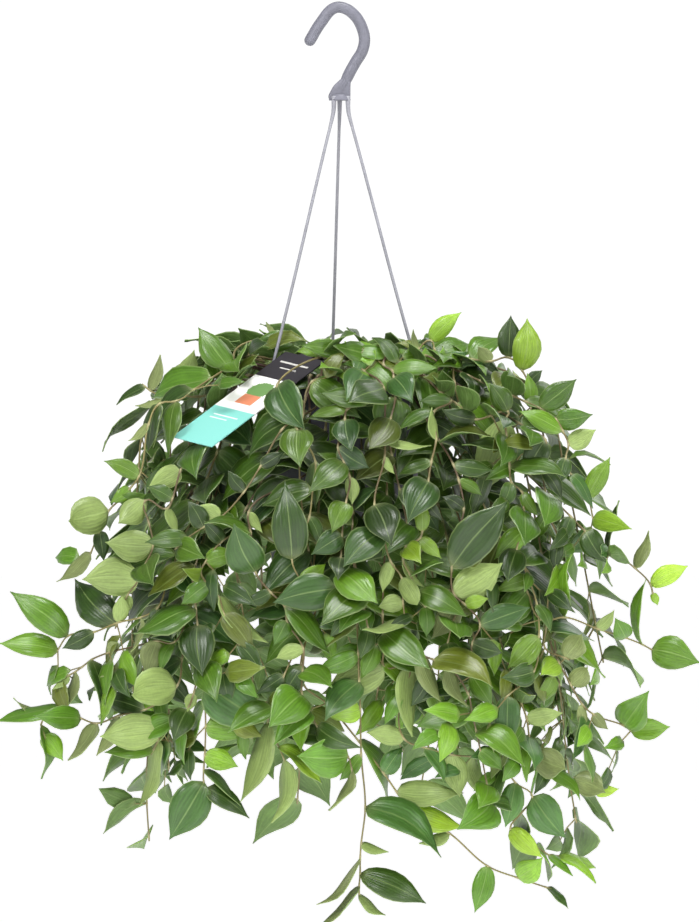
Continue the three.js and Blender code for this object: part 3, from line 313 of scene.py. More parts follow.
bm = bmesh.new()
spots = [bm.verts.new((radius * MM, 0, z * MM)) for radius, z in POT_PROFILE]
edges = [bm.edges.new(pair) for pair in zip(spots, spots[1:])]
bmesh.ops.spin(
    bm, geom=spots + edges, angle=2 * math.pi, steps=96, axis=(0, 0, 1), cent=(0, 0, 0),
    use_merge=True,
)
bmesh.ops.remove_doubles(bm, verts=bm.verts[:], dist=1e-6)
face_outwards(bm)
pot = add_piece(bm, "pot_shell", anthracite, "pot")

bm = bmesh.new()
bores = [(BARB_HOLE, BARB_HOLE_AT, azimuth) for azimuth in STRAND_AZIMUTHS.values()]
bores += [(DRAIN_HOLE, DRAIN_HOLE_AT, azimuth) for azimuth in (45, 135, 225, 315)]
for width, (radius, z), azimuth in bores:
    bmesh.ops.create_cone(
        bm, cap_ends=True, segments=24, radius1=width / 2, radius2=width / 2, depth=8 * MM,
        matrix=Matrix.Translation(polar(radius, azimuth, z)),
    )
cutter = new_object("bores", new_mesh(bm, "bores"))
cut = pot.modifiers.new("bores", "BOOLEAN")
cut.object = cutter
bpy.context.view_layer.update()
bored = pot.evaluated_get(bpy.context.evaluated_depsgraph_get())
pot.data = bpy.data.meshes.new_from_object(bored)
pot.modifiers.clear()
pot.data.set_sharp_from_angle(angle=CREASE)
bpy.data.objects.remove(cutter)

# ---------------------------------------------------------------- soil
# Potting peat, pressed in at planting and then settled: a low uneven bed with loose crumbs and
# bits of bark on it. It is dark and matt, and paler where the top has dried.

SOIL_FOOT_RADIUS = 52.6 * MM
SOIL_GAP = 0.4 * MM
UNEVEN = 1.8 * MM
SETTLED = 1.2 * MM
# The bed swells and dips about every 11 mm. Its lid is cut into rings, and stays flat at its edge.
SWELLS = 90
LID_RINGS = 7
LID_RING = 0.13
LID_LEVEL_FROM = 0.97
CRUMBS = 260

peat, shader, place = new_material("potting peat", {"Roughness": 0.95})
# Clods are about 9 mm across and fibres about 1.2 mm.
clods = add_node(peat, "TexNoise", {"Vector": place, "Scale": 110, "Detail": 6})
fibres = add_node(
    peat, "TexNoise", {"Vector": place, "Scale": 830, "Detail": 4, "Distortion": 1.5}
)
dry = add_node(peat, "Mix", {0: clods, 6: linear("1d1510"), 7: linear("54402f")}, data_type="RGBA")
fibrous = add_node(
    peat, "MapRange", {"Value": fibres, "From Min": 0.55, "From Max": 0.75, "To Max": 0.6}
)
bark = add_node(peat, "Mix", {0: fibrous, 6: dry, 7: linear("7a6046")}, data_type="RGBA")
crumble = add_node(peat, "Bump", {"Height": fibres, "Strength": 0.8, "Distance": 0.001})
wire(shader, {"Base Color": bark, "Normal": crumble})

bm = bmesh.new()
low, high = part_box("soil")
wide = high.x - SOIL_GAP
bmesh.ops.create_cone(
    bm, cap_ends=True, segments=72, radius1=SOIL_FOOT_RADIUS, radius2=wide, depth=high.z - low.z,
    matrix=Matrix.Translation((0, 0, (high.z + low.z) / 2)),
)
lid = [face for face in bm.faces if face.normal.z > 0.9]
for _ in range(LID_RINGS):
    bmesh.ops.inset_region(bm, faces=lid, thickness=wide * LID_RING)
for vert in bm.verts:
    out = math.hypot(vert.co.x, vert.co.y)
    if vert.co.z > high.z - 1e-5 and out < wide * LID_LEVEL_FROM:
        vert.co.z += UNEVEN * noise.fractal(vert.co * SWELLS, 1.0, 2.0, 4) - SETTLED
crumb_rng = random.Random(11)
for _ in range(CRUMBS):
    radius = wide * math.sqrt(crumb_rng.uniform(0.0, 0.9))
    size = crumb_rng.uniform(0.8, 2.2) * MM
    at = polar(radius, crumb_rng.uniform(0, 360), high.z - 0.4 * size)
    squash = Matrix.Diagonal((1, crumb_rng.uniform(0.5, 1), crumb_rng.uniform(0.5, 0.9), 1))
    turn = Matrix.Rotation(crumb_rng.uniform(0, 6.3), 4, "Z")
    bmesh.ops.create_icosphere(
        bm, subdivisions=1, radius=size, matrix=Matrix.Translation(at) @ turn @ squash
    )
add_piece(bm, "soil_bed", peat, "soil")

# ---------------------------------------------------------------- care label
# A grower's care label: one strip of printed polypropylene sheet, a wide plate that narrows to a
# stick, bent over near the top of the stick, which is pushed into the soil.

LABEL_TOP = Vector((-28, -50, -275)) * MM
LABEL_END = Vector((-117, -134, -343)) * MM
LABEL_ACROSS = Vector((32, -27.4, -8))
LABEL_WIDTH = 42 * MM
LABEL_THICK = 0.8 * MM
PRINT_EDGE = 0.002
STICK_WIDTH = 13 * MM
STICK_BEND = 14 * MM
STICK_TURN = math.radians(119.6)
STICK_STEPS = 14
STICK_FOOT = -310.8 * MM

label_length = (LABEL_END - LABEL_TOP).length
along = (LABEL_END - LABEL_TOP).normalized()
across = (LABEL_ACROSS - along * LABEL_ACROSS.dot(along)).normalized()
above = along.cross(across)

print_card, shader, place = new_material(
    "printed polypropylene sheet", {"Coat Weight": 0.08, "Coat Roughness": 0.3}
)
sheet = add_node(print_card, "UVMap", {}, uv_map="UVMap")
down, over, _ = add_node(print_card, "SeparateXYZ", {0: sheet}).outputs
# The printed plant's crown is a round patch, squashed along the plate, with a ragged outline.
leafy = add_node(print_card, "TexNoise", {"Vector": sheet, "Scale": 26, "Detail": 3})
ragged = add_node(print_card, "MapRange", {"Value": leafy, "To Min": -0.09, "To Max": 0.09})
middle = add_node(print_card, "VectorMath", {0: sheet, 1: (0.4, 0.5, 0)}, operation="SUBTRACT")
squashed = add_node(
    print_card, "VectorMath", {0: middle, 1: (3.33, 1.0, 0)}, operation="MULTIPLY"
)
spread = add_node(print_card, "VectorMath", {0: squashed}, operation="LENGTH").outputs["Value"]
crown = add_node(print_card, "Math", {0: spread, 1: ragged}, operation="ADD")
# Print runs down the plate: a dark head, a white field with a little potted plant, a teal foot.
# Each print has the edges that it lies past (1) or short of (-1), and its ink.
prints = [
    ([(down, 0.27, 1)], "fbfaf7"), ([(down, 0.626, 1)], "88d6cb"), ([(crown, 0.26, -1)], "6d9455"),
]
prints += [
    ([(down, start, 1), (down, end, -1), (over, left, 1), (over, right, -1)], code)
    for start, end, left, right, code in (
        (0.46, 0.56, 0.3, 0.7, "df8a66"),
        (0.09, 0.105, 0.15, 0.85, "d8d6d0"), (0.15, 0.16, 0.3, 0.7, "d8d6d0"),
        (0.70, 0.71, 0.2, 0.8, "f2fbf9"), (0.735, 0.743, 0.2, 0.62, "f2fbf9"),
    )
]
ink = linear("2a262c")
for sides, code in prints:
    share = 1
    for value, at, way in sides:
        ends = {"From Min": at - way * PRINT_EDGE, "From Max": at + way * PRINT_EDGE}
        past = add_node(print_card, "MapRange", {"Value": value, **ends})
        share = add_node(print_card, "Math", {0: share, 1: past}, operation="MULTIPLY")
    ink = add_node(print_card, "Mix", {0: share, 6: ink, 7: linear(code)}, data_type="RGBA")
# Handling has scuffed the gloss in marks about 8 mm across.
scuff = add_node(print_card, "TexNoise", {"Vector": place, "Scale": 120, "Detail": 5})
worn = add_node(print_card, "MapRange", {"Value": scuff, "To Min": 0.42, "To Max": 0.54})
wire(shader, {"Base Color": ink, "Roughness": worn})

bm = bmesh.new()
uv = bm.loops.layers.uv.new("UVMap")
plate_size = Matrix.Diagonal((label_length, LABEL_WIDTH, 1, 1))
plate = bmesh.ops.create_grid(
    bm, x_segments=28, y_segments=8, size=0.5,
    matrix=Matrix.Translation((label_length / 2, 0, 0)) @ plate_size,
)["verts"]
shoulder = [v for v in plate if v.co.x < 1e-6 and abs(v.co.y) < STICK_WIDTH / 2 + 1 * MM]
edges = [e for e in bm.edges if e.verts[0] in shoulder and e.verts[1] in shoulder]
for vert in shoulder:
    if abs(vert.co.y) > 1e-6:
        vert.co.y = math.copysign(STICK_WIDTH / 2, vert.co.y)
stops = []
for i in range(1, STICK_STEPS + 1):
    turn = STICK_TURN * i / STICK_STEPS
    stops.append(Vector((-STICK_BEND * math.sin(turn), 0, STICK_BEND * (math.cos(turn) - 1))))
straight = Vector((-math.cos(STICK_TURN), 0, -math.sin(STICK_TURN)))
bend = stops[-1]
drop = bend.x * along.z + bend.z * above.z + LABEL_TOP.z - STICK_FOOT
stops.append(bend - straight * (drop / (straight.x * along.z + straight.z * above.z)))
here = Vector((0, 0, 0))
for stop in stops:
    verts, edges = extrude_edges(bm, edges)
    bmesh.ops.translate(bm, vec=stop - here, verts=verts)
    here = stop
for face in bm.faces:
    for loop in face.loops:
        at = loop.vert.co
        loop[uv].uv = (min(max(at.x / label_length, 0.01), 0.99), at.y / LABEL_WIDTH + 0.5)
face_outwards(bm)
bmesh.ops.solidify(bm, geom=bm.verts[:] + bm.edges[:] + bm.faces[:], thickness=LABEL_THICK)
zs = [v.co.z for v in bm.verts if v.co.x > label_length / 2]
bmesh.ops.translate(bm, vec=(0, 0, -(max(zs) + min(zs)) / 2), verts=bm.verts[:])
lying = Matrix((along, across, above)).transposed().to_4x4()
lying.translation = LABEL_TOP
bmesh.ops.transform(bm, matrix=lying, verts=bm.verts[:])
face_outwards(bm)
label = add_piece(bm, "care_label_sheet", print_card, "care_label")
label.data.set_sharp_from_angle(angle=CREASE)

# ---------------------------------------------------------------- shoots
# Each shoot is a jointed stem that roots in the soil, passes over the rim and trails, with a
# sheathing leaf at each joint, on one side and the other by turns. The frame gives where each
# one went: a leaf's tip and a stem's rings lie in its solid, and what isn't there was left off.

# Lengths are in mm. Front shoots are laid out on a grid of squares, in columns and rows.
GRID = 0.8
GRID_COLUMN = 340.5
GRID_ROW = 13.5
SOIL_LEVEL = -312
RIM_LEVEL = -300
STEM = 2.6
STEM_FOOT = 0.9
STEM_END = 4
# A shoot roots in one of three rings, so many mm from the axis, and passes over the rim.
ROOTING = ((57, 0), (45, 1), (33, 2))
OVER_RIM = 86.5
# Each went the first clear way, in this order: the degrees that its root is turned by, how far
# a joint lies further out, how far a leaf's tip leans in or out, and how much it is raised.
TURNS = [0, 4, -4, 8, -8, 12, -12, 17, -17, 22, -22, 28, -28, 34, -34, 40, -40, 48, -48]
LIFTS = [0, 8, -8, 16, -16, 24, -24, 32, -32]
LEANS = [0, -6, 6, -12, 12, -18, 18, -25, 25, -32, 32, -40, 40, -50, 50]
RISES = [0, 0.6, 1.2]
# A long drop from the rim to the first joint passes through a point on the way.
DROP = 50
DROP_RADII = (94, 108, 124)
DROP_SHARES = (0.35, 0.6)
# No leaf grows at the rim where a stem turns by more than this there, in radians.
RIM_BEND = 1.2
NODE_SPACING = 27
FILL_SPACING = 24
DENSE_SPACING = 13.5
DENSE_SIZE = 0.9
# A leaf's width is this share of its length: when it is loose, at most and at least.
LEAF_SHAPE = 0.58
BROADEST = 0.66
SLIMMEST = 0.44
# How near a vertex lies to where the CAD put it.
NEAR = 0.03
FRONT_DEPTH = [
    (-240, 55), (-285, 105), (-330, 148), (-400, 172), (-480, 182), (-560, 176),
    (-640, 160), (-740, 130),
]
HALF_WIDTH = 285
TRAILING_AZIMUTHS = [
    0, 13, 26, 39, 52, 64, 77, 90, 103, 116, 129, 141, 154, 167, 180,
    195, 208, 262, 289, 316, 342,
]
# Past this azimuth the shoots trail in front, and are shorter.
BACK_END = 190
# A leaf in one of these greens is turned over, and shows its under side in that green.
TURNED_OVER = "PS"
# A front shoot has a letter for each leaf's green. Then come its joints: the column and row of
# each, how far its leaf's tip lies to the right and down from it, and the leaf's seen width.
FRONT_SHOOTS = {
    "far_left": ("DSPDMB", (160, 606, -2, 24, 14), (144, 615, -11, 35, 6), (122, 620, 4, -26, 16),
        (97, 630, -31, 16, 18), (71, 634, -57, -44, 30), (61, 648, -59, -7, 24)),
    "left_mid": ("MSSSDDSP", (176, 640, -13, 30, 12), (160, 638, -10, 34, 24),
        (141, 643, -37, 31, 12), (112, 650, 10, -10, 12), (95, 657, 9, 65, 18),
        (86, 664, -51, -52, 24), (79, 669, -16, 43, 10), (72, 673, -16, 14, 8)),
    "right_long": ("MBPMMM", (538, 617, 14, -32, 12), (562, 615, 6, -62, 14),
        (595, 627, 16, -19, 12), (623, 636, -11, -20, 20), (640, 643, 3, -65, 8),
        (649, 648, 48, 13, 34)),
    "right_upper": ("DDDSYY", (568, 516, -12, 29, 16), (582, 530, 22, 32, 24),
        (606, 548, 10, -48, 6), (632, 567, 14, -37, 12), (648, 584, 37, -19, 20),
        (650, 592, 5, 12, 8)),
    "right_twig": ("YSSSMB", (556, 660, -19, 12, 22), (568, 682, 16, -18, 20),
        (579, 701, 3, 26, 10), (590, 711, 15, 15, 12), (621, 723, 24, -35, 34),
        (628, 728, 39, -4, 22)),
    "centre_drop": ("MYMGPSDSP", (358, 650, -42, 18, 20), (360, 705, -30, 7, 22),
        (361, 750, -21, 25, 14), (365, 802, 75, 49, 32), (361, 838, 27, 8, 9),
        (360, 852, -43, 46, 6), (360, 868, 65, 29, 28), (359, 880, -41, 42, 6),
        (359, 888, 26, 21, 9)),
    "lower_diagonal": ("DYMGPYPMBD", (304, 680, -22, -16, 16), (327, 699, 25, 17, 20),
        (358, 736, 30, 62, 13), (383, 768, 19, -26, 20), (396, 787, 66, 1, 26),
        (408, 805, 55, 17, 24), (448, 828, -30, 10, 12), (486, 861, -13, 46, 22),
        (516, 873, 24, -21, 26), (545, 883, 21, 21, 7)),
    "left_drop": ("DDGBBDGD", (195, 574, 13, 57, 36), (200, 622, 5, 50, 36), (207, 680, 66, 37, 50),
        (208, 722, 47, 8, 26), (207, 750, 33, 12, 22), (206, 765, 37, 36, 9),
        (206, 777, -34, 57, 40), (209, 783, 42, 30, 20)),
    "left_pale": ("PDPPM", (196, 690, -6, 18, 12), (190, 705, -14, 33, 26), (164, 726, -60, 6, 37),
        (161, 736, -18, 66, 15), (156, 746, -48, 2, 18)),
    "left_low": ("PDSSMMSMB", (180, 682, -44, 8, 38), (148, 706, -40, -9, 24),
        (122, 712, -22, 40, 14), (100, 720, -28, 37, 14), (84, 715, -46, -3, 24),
        (66, 706, -65, 12, 14), (52, 712, -35, -17, 6), (44, 722, 1, 54, 12),
        (47, 732, 19, 26, 20)),
    "top_right_spray": ("SDYDB", (490, 362, -13, -15, 14), (508, 358, 2, -42, 24),
        (521, 371, 5, -52, 29), (527, 384, 14, -13, 12), (529, 408, -3, -34, 14)),
    "right_shoulder": ("MMBPDGBY", (538, 409, 36, -29, 25), (554, 420, 36, -5, 22),
        (560, 431, -44, -19, 19), (566, 445, 27, -15, 20), (563, 458, -7, 26, 18),
        (568, 474, 22, 34, 14), (585, 497, 22, -40, 20), (590, 518, 37, 10, 21)),
    "top_right_inner": ("SYG", (418, 350, -5, -20, 6), (430, 341, 31, -28, 19),
        (434, 350, 44, -1, 30)),
    "top_centre": ("MBMGMPPDPPPP", (386, 356, -40, -4, 14), (383, 366, -47, 0, 21),
        (392, 372, 45, -3, 16), (393, 378, 19, 26, 30), (395, 398, -11, 40, 40),
        (385, 441, 45, 5, 8), (384, 458, 10, 16, 8), (374, 504, 17, 41, 36), (390, 560, -8, 30, 14),
        (401, 576, 15, 26, 18), (402, 600, -24, 4, 18), (404, 616, -42, 11, 9)),
    "front_glossy": ("MBGGPBGDGD", (370, 402, -50, -8, 20), (347, 410, -36, 7, 12),
        (345, 420, 7, 32, 28), (338, 448, 31, 20, 24), (350, 477, 2, 27, 14),
        (346, 502, -14, 30, 24), (342, 534, -30, 19, 24), (341, 556, -3, 22, 22),
        (336, 586, -62, 14, 38), (345, 614, -15, 20, 12)),
    "front_heart": ("GBMMDB", (278, 386, 28, 44, 38), (298, 430, 3, 37, 34), (316, 462, 0, 46, 17),
        (310, 516, 12, 29, 14), (293, 558, -7, -77, 36), (302, 580, 24, -18, 18)),
    "under_label": ("MDDPDMB", (283, 430, -78, 28, 30), (262, 466, 24, -14, 14),
        (246, 491, -16, -21, 14), (222, 517, -26, -11, 18), (206, 526, -16, -26, 20),
        (190, 537, -42, 4, 18), (181, 545, 27, 12, 26)),
    "bright_cluster": ("DBYMPOD", (224, 540, -18, -20, 16), (208, 560, 33, -8, 20),
        (203, 570, -17, -4, 14), (210, 582, -26, 20, 20), (221, 594, 49, 46, 16),
        (226, 611, 29, 39, 24), (240, 640, 22, 28, 18)),
    "glossy_left": ("PGDMMPMDMS", (250, 512, 14, 20, 10), (257, 570, -21, -48, 38),
        (272, 590, -26, 10, 14), (286, 604, 44, 46, 22), (288, 618, -13, 24, 18),
        (304, 645, -27, 10, 16), (303, 690, -33, 32, 40), (318, 722, 44, 20, 22),
        (348, 751, -50, -1, 40), (352, 765, -23, 39, 9)),
    "hanging_pale": ("DPYP", (285, 672, -27, 18, 16), (269, 718, -27, 78, 22),
        (280, 742, 42, 37, 16), (285, 754, -12, 63, 18)),
    "left_shoulder": ("MDSBBMPDS", (178, 402, -7, 53, 18), (162, 404, -12, 48, 16),
        (151, 425, -20, 16, 8), (142, 476, -35, -15, 17), (133, 488, -20, 14, 14),
        (122, 500, 28, -6, 14), (112, 510, -39, 10, 38), (103, 530, 4, 30, 16),
        (94, 552, -34, 28, 14)),
    "left_upper": ("PMPPPPPD", (183, 470, -33, 18, 22), (175, 498, -25, -12, 16),
        (170, 508, 10, 26, 10), (148, 500, -26, 22, 26), (156, 545, -47, -4, 32),
        (142, 578, -56, 0, 39), (131, 593, -5, 23, 16), (120, 622, -42, -44, 36)),
    "label_side": ("SYMDPSSD", (264, 362, -34, 28, 14), (250, 357, -23, 10, 14),
        (222, 378, -11, -31, 24), (205, 396, 23, -8, 14), (180, 396, 15, -46, 24),
        (166, 397, -30, 9, 7), (151, 391, 10, -36, 12), (146, 387, -29, 18, 9)),
    "above_label": ("MPS", (296, 340, -49, 12, 22), (282, 344, -39, 26, 16),
        (276, 335, -10, -13, 5)),
    "right_front": ("DMPMBBDBMBDG", (474, 420, -34, -10, 18), (506, 412, -18, -28, 22),
        (503, 421, -22, 72, 41), (509, 482, -12, 26, 16), (520, 492, 15, 23, 13),
        (522, 528, -30, 30, 22), (514, 548, -9, 32, 28), (526, 577, -34, 13, 16),
        (534, 602, 14, 28, 12), (536, 634, -31, 31, 26), (531, 668, -33, 6, 24),
        (505, 692, 0, 53, 26)),
    "right_inner": ("DDMDDDS", (543, 440, -21, 38, 26), (540, 470, 20, 30, 14),
        (545, 512, -15, 28, 16), (556, 540, -4, 30, 14), (546, 590, 24, 20, 16),
        (542, 645, 28, 20, 22), (562, 655, 16, -24, 24)),
    "right_low": ("PSMSY", (524, 715, 36, -6, 18), (529, 750, 34, 14, 30), (546, 766, 31, 30, 14),
        (570, 774, 32, 14, 26), (592, 788, 24, -3, 12)),
    "right_low_inner": ("PDGGYM", (498, 730, -10, 46, 18), (502, 760, -8, 58, 20),
        (513, 778, -10, 44, 24), (530, 792, 33, 41, 34), (508, 824, 32, 28, 20),
        (546, 850, 24, 21, 8)),
    "big_dark": ("MBDDPYGDMMM", (452, 465, 40, 5, 17), (457, 480, 23, 15, 12),
        (462, 508, -22, -12, 14), (450, 566, 55, -66, 42), (452, 592, 48, -31, 34),
        (463, 602, 23, -6, 14), (478, 622, 49, -17, 26), (470, 640, 30, 10, 20),
        (470, 672, 20, 30, 20), (462, 702, 33, 43, 26), (447, 722, 21, 18, 9)),
    "lime_pair": ("MMPMDYYYPMSD", (450, 402, -32, 0, 14), (433, 412, -35, 18, 12),
        (435, 440, -4, -32, 9), (430, 462, -32, 12, 12), (424, 500, 18, 20, 12),
        (421, 530, -3, -31, 15), (419, 537, 21, 20, 14), (405, 545, 15, 17, 22),
        (402, 558, 22, 28, 8), (424, 604, 1, 30, 16), (455, 602, -25, 34, 24),
        (446, 640, 6, 28, 22)),
    "hanging_pair": ("DPPMPGPP", (382, 612, 6, 52, 24), (384, 664, -62, 26, 36),
        (408, 662, 4, 70, 22), (400, 690, -16, 30, 14), (403, 734, -37, -6, 20),
        (424, 743, 18, 36, 14), (450, 750, 8, 42, 26), (470, 752, 16, 44, 16)),
    "grey_pair": ("SSMMM", (418, 650, 22, 48, 18), (446, 662, 19, 40, 15), (466, 690, -22, 10, 10),
        (478, 745, 22, 20, 18), (488, 796, -33, 26, 40)),
    "bright_front": ("BD", (352, 552, 10, 64, 34), (368, 626, -8, 29, 18)),
}
# These hang further back than the outermost leaves, in mm.
SET_BACK = {"above_label": 70, "label_side": 60, "top_right_inner": 30, "top_right_spray": 30}
# These have fewer leaves between their joints than the others.
OPEN_SHOOTS = {
    "far_left", "left_mid", "right_long", "right_upper", "right_twig", "centre_drop",
    "lower_diagonal", "left_low", "left_shoulder", "label_side", "above_label", "under_label",
    "front_heart", "top_centre",
}


def vary(i, j):
    """Spread evenly over 0 to 1 by the numbers of a shoot and of something on it."""
    return ((i * 37 + j * 61 + i * j * 17) % 101) / 101


def depth_at(x, z):
    """How far in front of the axis the outermost leaves lie."""
    depth = FRONT_DEPTH[0][1]
    for (z0, d0), (z1, d1) in zip(FRONT_DEPTH, FRONT_DEPTH[1:]):
        share = min(max((z - z0) / (z1 - z0), 0), 1)
        if share > 0:
            depth = d0 + (d1 - d0) * share
    return depth * math.sqrt(max(1 - (x / HALF_WIDTH) ** 2, 0))


def on_grid(column, row):
    return GRID * (column - GRID_COLUMN), -GRID * (row - GRID_ROW)


def front_node(shoot, i, lift):
    x, z = on_grid(*shoot["joints"][i][:2])
    return Vector((x, shoot["back"] - depth_at(x, z) - lift, z))


def front_leaf(shoot, base, i, lean):
    """A leaf with its tip at its place on the grid, long enough for its width."""
    column, row, right, down, seen = shoot["joints"][i]
    green, width = shoot["greens"][i], seen * GRID
    x, z = on_grid(column + right, row + down)
    shown = math.hypot(x - base.x, z - base.z)
    long = max(shown, width / BROADEST)
    tip = Vector((x, base.y - math.sqrt(long**2 - shown**2) + lean, z))
    full = max(width, SLIMMEST * long)
    roll = math.acos(width / full)
    forward = (tip - base).normalized()
    level = Vector((0, -1, 0)).cross(forward).normalized()
    face = forward.cross(level) * math.cos(roll)
    face += level * (math.sin(roll) if level.z > 0 else -math.sin(roll))
    if green in TURNED_OVER:
        face = -face
    return {"tip": tip, "width": full, "face": face, "green": green}


def loose_leaf(base, index, i, hand, lean, rise=0, size=1):
    """A leaf that hangs out and down from a stem, or rises, on its left or right hand."""
    out = Vector((base.x, base.y, 0)).normalized()
    forward = Vector((-out.y, out.x, 0)) * (0.75 * hand)
    forward -= Vector((0, 0, 0.5 + 0.7 * (vary(index, i + 7) - 0.4) - rise))
    forward += out * (0.25 + 0.5 * vary(i, index) + lean / 40)
    long = (42 + 20 * vary(index + i, 11)) * (1 - 0.2 * rise) * size
    face = out + Vector((0, 0, 0.55 + 0.5 * vary(i, index + 2) + rise))
    green = "DMMGMOMBM"[(index * 5 + i * 7) % 9]
    tip = base + forward.normalized() * long
    return {"tip": tip, "width": long * LEAF_SHAPE, "face": face, "green": green}


def trailing_way(index, azimuth):
    """Radius, height and azimuth of a trailing shoot's joints: it arches out, then hangs."""
    if azimuth < BACK_END:
        reach, fall = 62 + 62 * vary(index, 1), 170 + 190 * vary(index, 2)
    else:
        reach, fall = 30 + 15 * vary(index, 1), 150 + 110 * vary(index, 2)
    radius, z, run, way = OVER_RIM, RIM_LEVEL + 18, NODE_SPACING, []
    while run < reach + fall:
        bend = min(run / (1.3 * reach), 1)
        rise = math.radians(25 - (115 - 14 * vary(index, 3)) * bend)
        radius += NODE_SPACING * math.cos(rise)
        z += NODE_SPACING * math.sin(rise)
        way.append((radius, z, azimuth + 5 * math.sin(run / 60 + 6 * vary(index, 5))))
        run += NODE_SPACING
    return way


def trailing_node(shoot, i, lift):
    radius, z, azimuth = shoot["way"][i]
    return polar(radius + lift, azimuth, z)


def trailing_leaf(shoot, base, i, lean):
    return loose_leaf(base, shoot["index"], i, 1 if (i + shoot["index"]) % 2 else -1, lean)


def bearing(point):
    return math.degrees(math.atan2(point.y, point.x))


def root_route(azimuth, radius, ring):
    return [
        polar(radius, azimuth, SOIL_LEVEL + STEM_FOOT),
        polar(radius + 6, azimuth, SOIL_LEVEL + 13 + 4 * ring),
        polar(OVER_RIM, azimuth, RIM_LEVEL + 10 + 8 * ring),
    ]


def ring_count(solid, point):
    """How many of a solid's vertices lie on a stem's skin round a point."""
    near = solid.find_range(point, STEM / 2 + NEAR)
    return sum(distance > STEM / 2 - NEAR for _, _, distance in near)


def find_route(shoot, solid):
    """A shoot's root, and its joints, as they lie in its solid."""
    nodes = []
    for i in range(shoot["count"]):
        spots = [shoot["node"](shoot, i, lift) for lift in LIFTS]
        nodes.append(max(spots, key=lambda spot: ring_count(solid, spot)))
    roots = [
        root_route(bearing(nodes[0]) + turn, radius, ring)
        for radius, ring in ROOTING
        for turn in TURNS
    ]
    root = max(roots, key=lambda way: sum(ring_count(solid, point) for point in way))
    rim = root[2]
    for radius in DROP_RADII:
        for share in DROP_SHARES:
            descent = polar(radius, bearing(rim), rim.z + (nodes[0].z - rim.z) * share)
            if nodes[0].z < rim.z - DROP and ring_count(solid, descent) > 1:
                return [*root, descent], nodes
    return root, nodes


def find_leaf(solid, base, choices):
    for leaf in choices:
        if solid.find(leaf["tip"])[2] < NEAR:
            return {**leaf, "base": base}
    return None


def find_leaves(shoot, solid, root, nodes):
    """A shoot's whole route, and the leaves at its joints and between them."""
    leaves = [
        find_leaf(solid, node, [shoot["leaf"](shoot, node, i, lean) for lean in LEANS])
        for i, node in enumerate(nodes)
    ]
    route = [*root, *nodes]
    spots = [(None, root[1]), (root[1], root[1].lerp(root[2], 0.5))]
    if (route[3] - route[2]).angle(root[2] - root[1]) < RIM_BEND:
        spots.append((None, root[2]))
    for start, end in zip(route[2:], route[3:]):
        count = math.floor((end - start).length / shoot["spacing"] - 0.8)
        spots += [(start, start.lerp(end, (j + 1) / (count + 1))) for j in range(count)]
    before = None
    for i, (after, spot) in enumerate(spots):
        choices = [
            loose_leaf(spot, shoot["index"], i, hand, lean, rise, shoot["size"])
            for rise in RISES
            for lean in LEANS
            for hand in (1, -1)
        ]
        leaf = find_leaf(solid, spot, choices)
        if leaf:
            leaves.append(leaf)
            if after:
                behind = before[1] if before and before[0] is after else after
                route.insert(next(k for k, point in enumerate(route) if point is behind) + 1, spot)
                before = (after, spot)
    last, end = nodes[-2:]
    tip = end + (end - last).normalized() * STEM_END
    return [*route, tip], [leaf for leaf in leaves if leaf]


# Dark, middle, bright, yellow, olive and grassy green, then a pale and a silvery under side.
GREENS = {
    "D": "375517", "M": "51781b", "B": "6d9722", "Y": "8fb333", "O": "657425",
    "G": "406529", "P": "8fa55b", "S": "7f8c53",
}
UNDER_GREEN = "5e7d3a"
# A leaf pales to this over the first tenth of its length, where it sheathes the stem.
PALE_BASE = Vector((0.45, 0.5, 0.24))

# The blade's upper side is waxy, with fine parallel veins that meet at base and tip and a pale
# keel; its underside is paler and matt. Veins lie about 1.5 mm apart, and are drawn at 2.5 mm.
leaf_skin, shader, place = new_material(
    "living leaf", {"IOR": 1.47, "Coat Weight": 0.25, "Coat Roughness": 0.26}
)
tint = add_node(leaf_skin, "Attribute", {}, attribute_name="tint").outputs["Color"]
under = add_node(leaf_skin, "Attribute", {}, attribute_name="under").outputs["Fac"]
blade = add_node(leaf_skin, "UVMap", {}, uv_map="UVMap")
over = add_node(leaf_skin, "SeparateXYZ", {0: blade}).outputs["Y"]
drift = add_node(leaf_skin, "TexNoise", {"Vector": place, "Scale": 90, "Detail": 3})
bent = add_node(leaf_skin, "Math", {0: drift, 1: 0.05, 2: over}, operation="MULTIPLY_ADD")
angle = add_node(leaf_skin, "Math", {0: bent, 1: 66}, operation="MULTIPLY")
vein = add_node(leaf_skin, "Math", {0: angle}, operation="SINE")
veined = add_node(
    leaf_skin, "MapRange", {"Value": vein, "From Min": -1, "To Min": 0.95, "To Max": 1.05}
)
# Paler and darker streaks run with the veins, about 12 mm long and 1.5 mm wide.
combed = add_node(leaf_skin, "VectorMath", {0: blade, 1: (4, 22, 1)}, operation="MULTIPLY")
shifted = add_node(leaf_skin, "VectorMath", {0: place, 1: (30, 30, 30)}, operation="MULTIPLY")
spread = add_node(leaf_skin, "VectorMath", {0: combed, 1: shifted})
streaks = add_node(leaf_skin, "TexNoise", {"Vector": spread, "Scale": 1, "Detail": 2})
streaked = add_node(
    leaf_skin, "MapRange",
    {"Value": streaks, "From Min": 0.3, "From Max": 0.7, "To Min": 0.82, "To Max": 1.18},
)
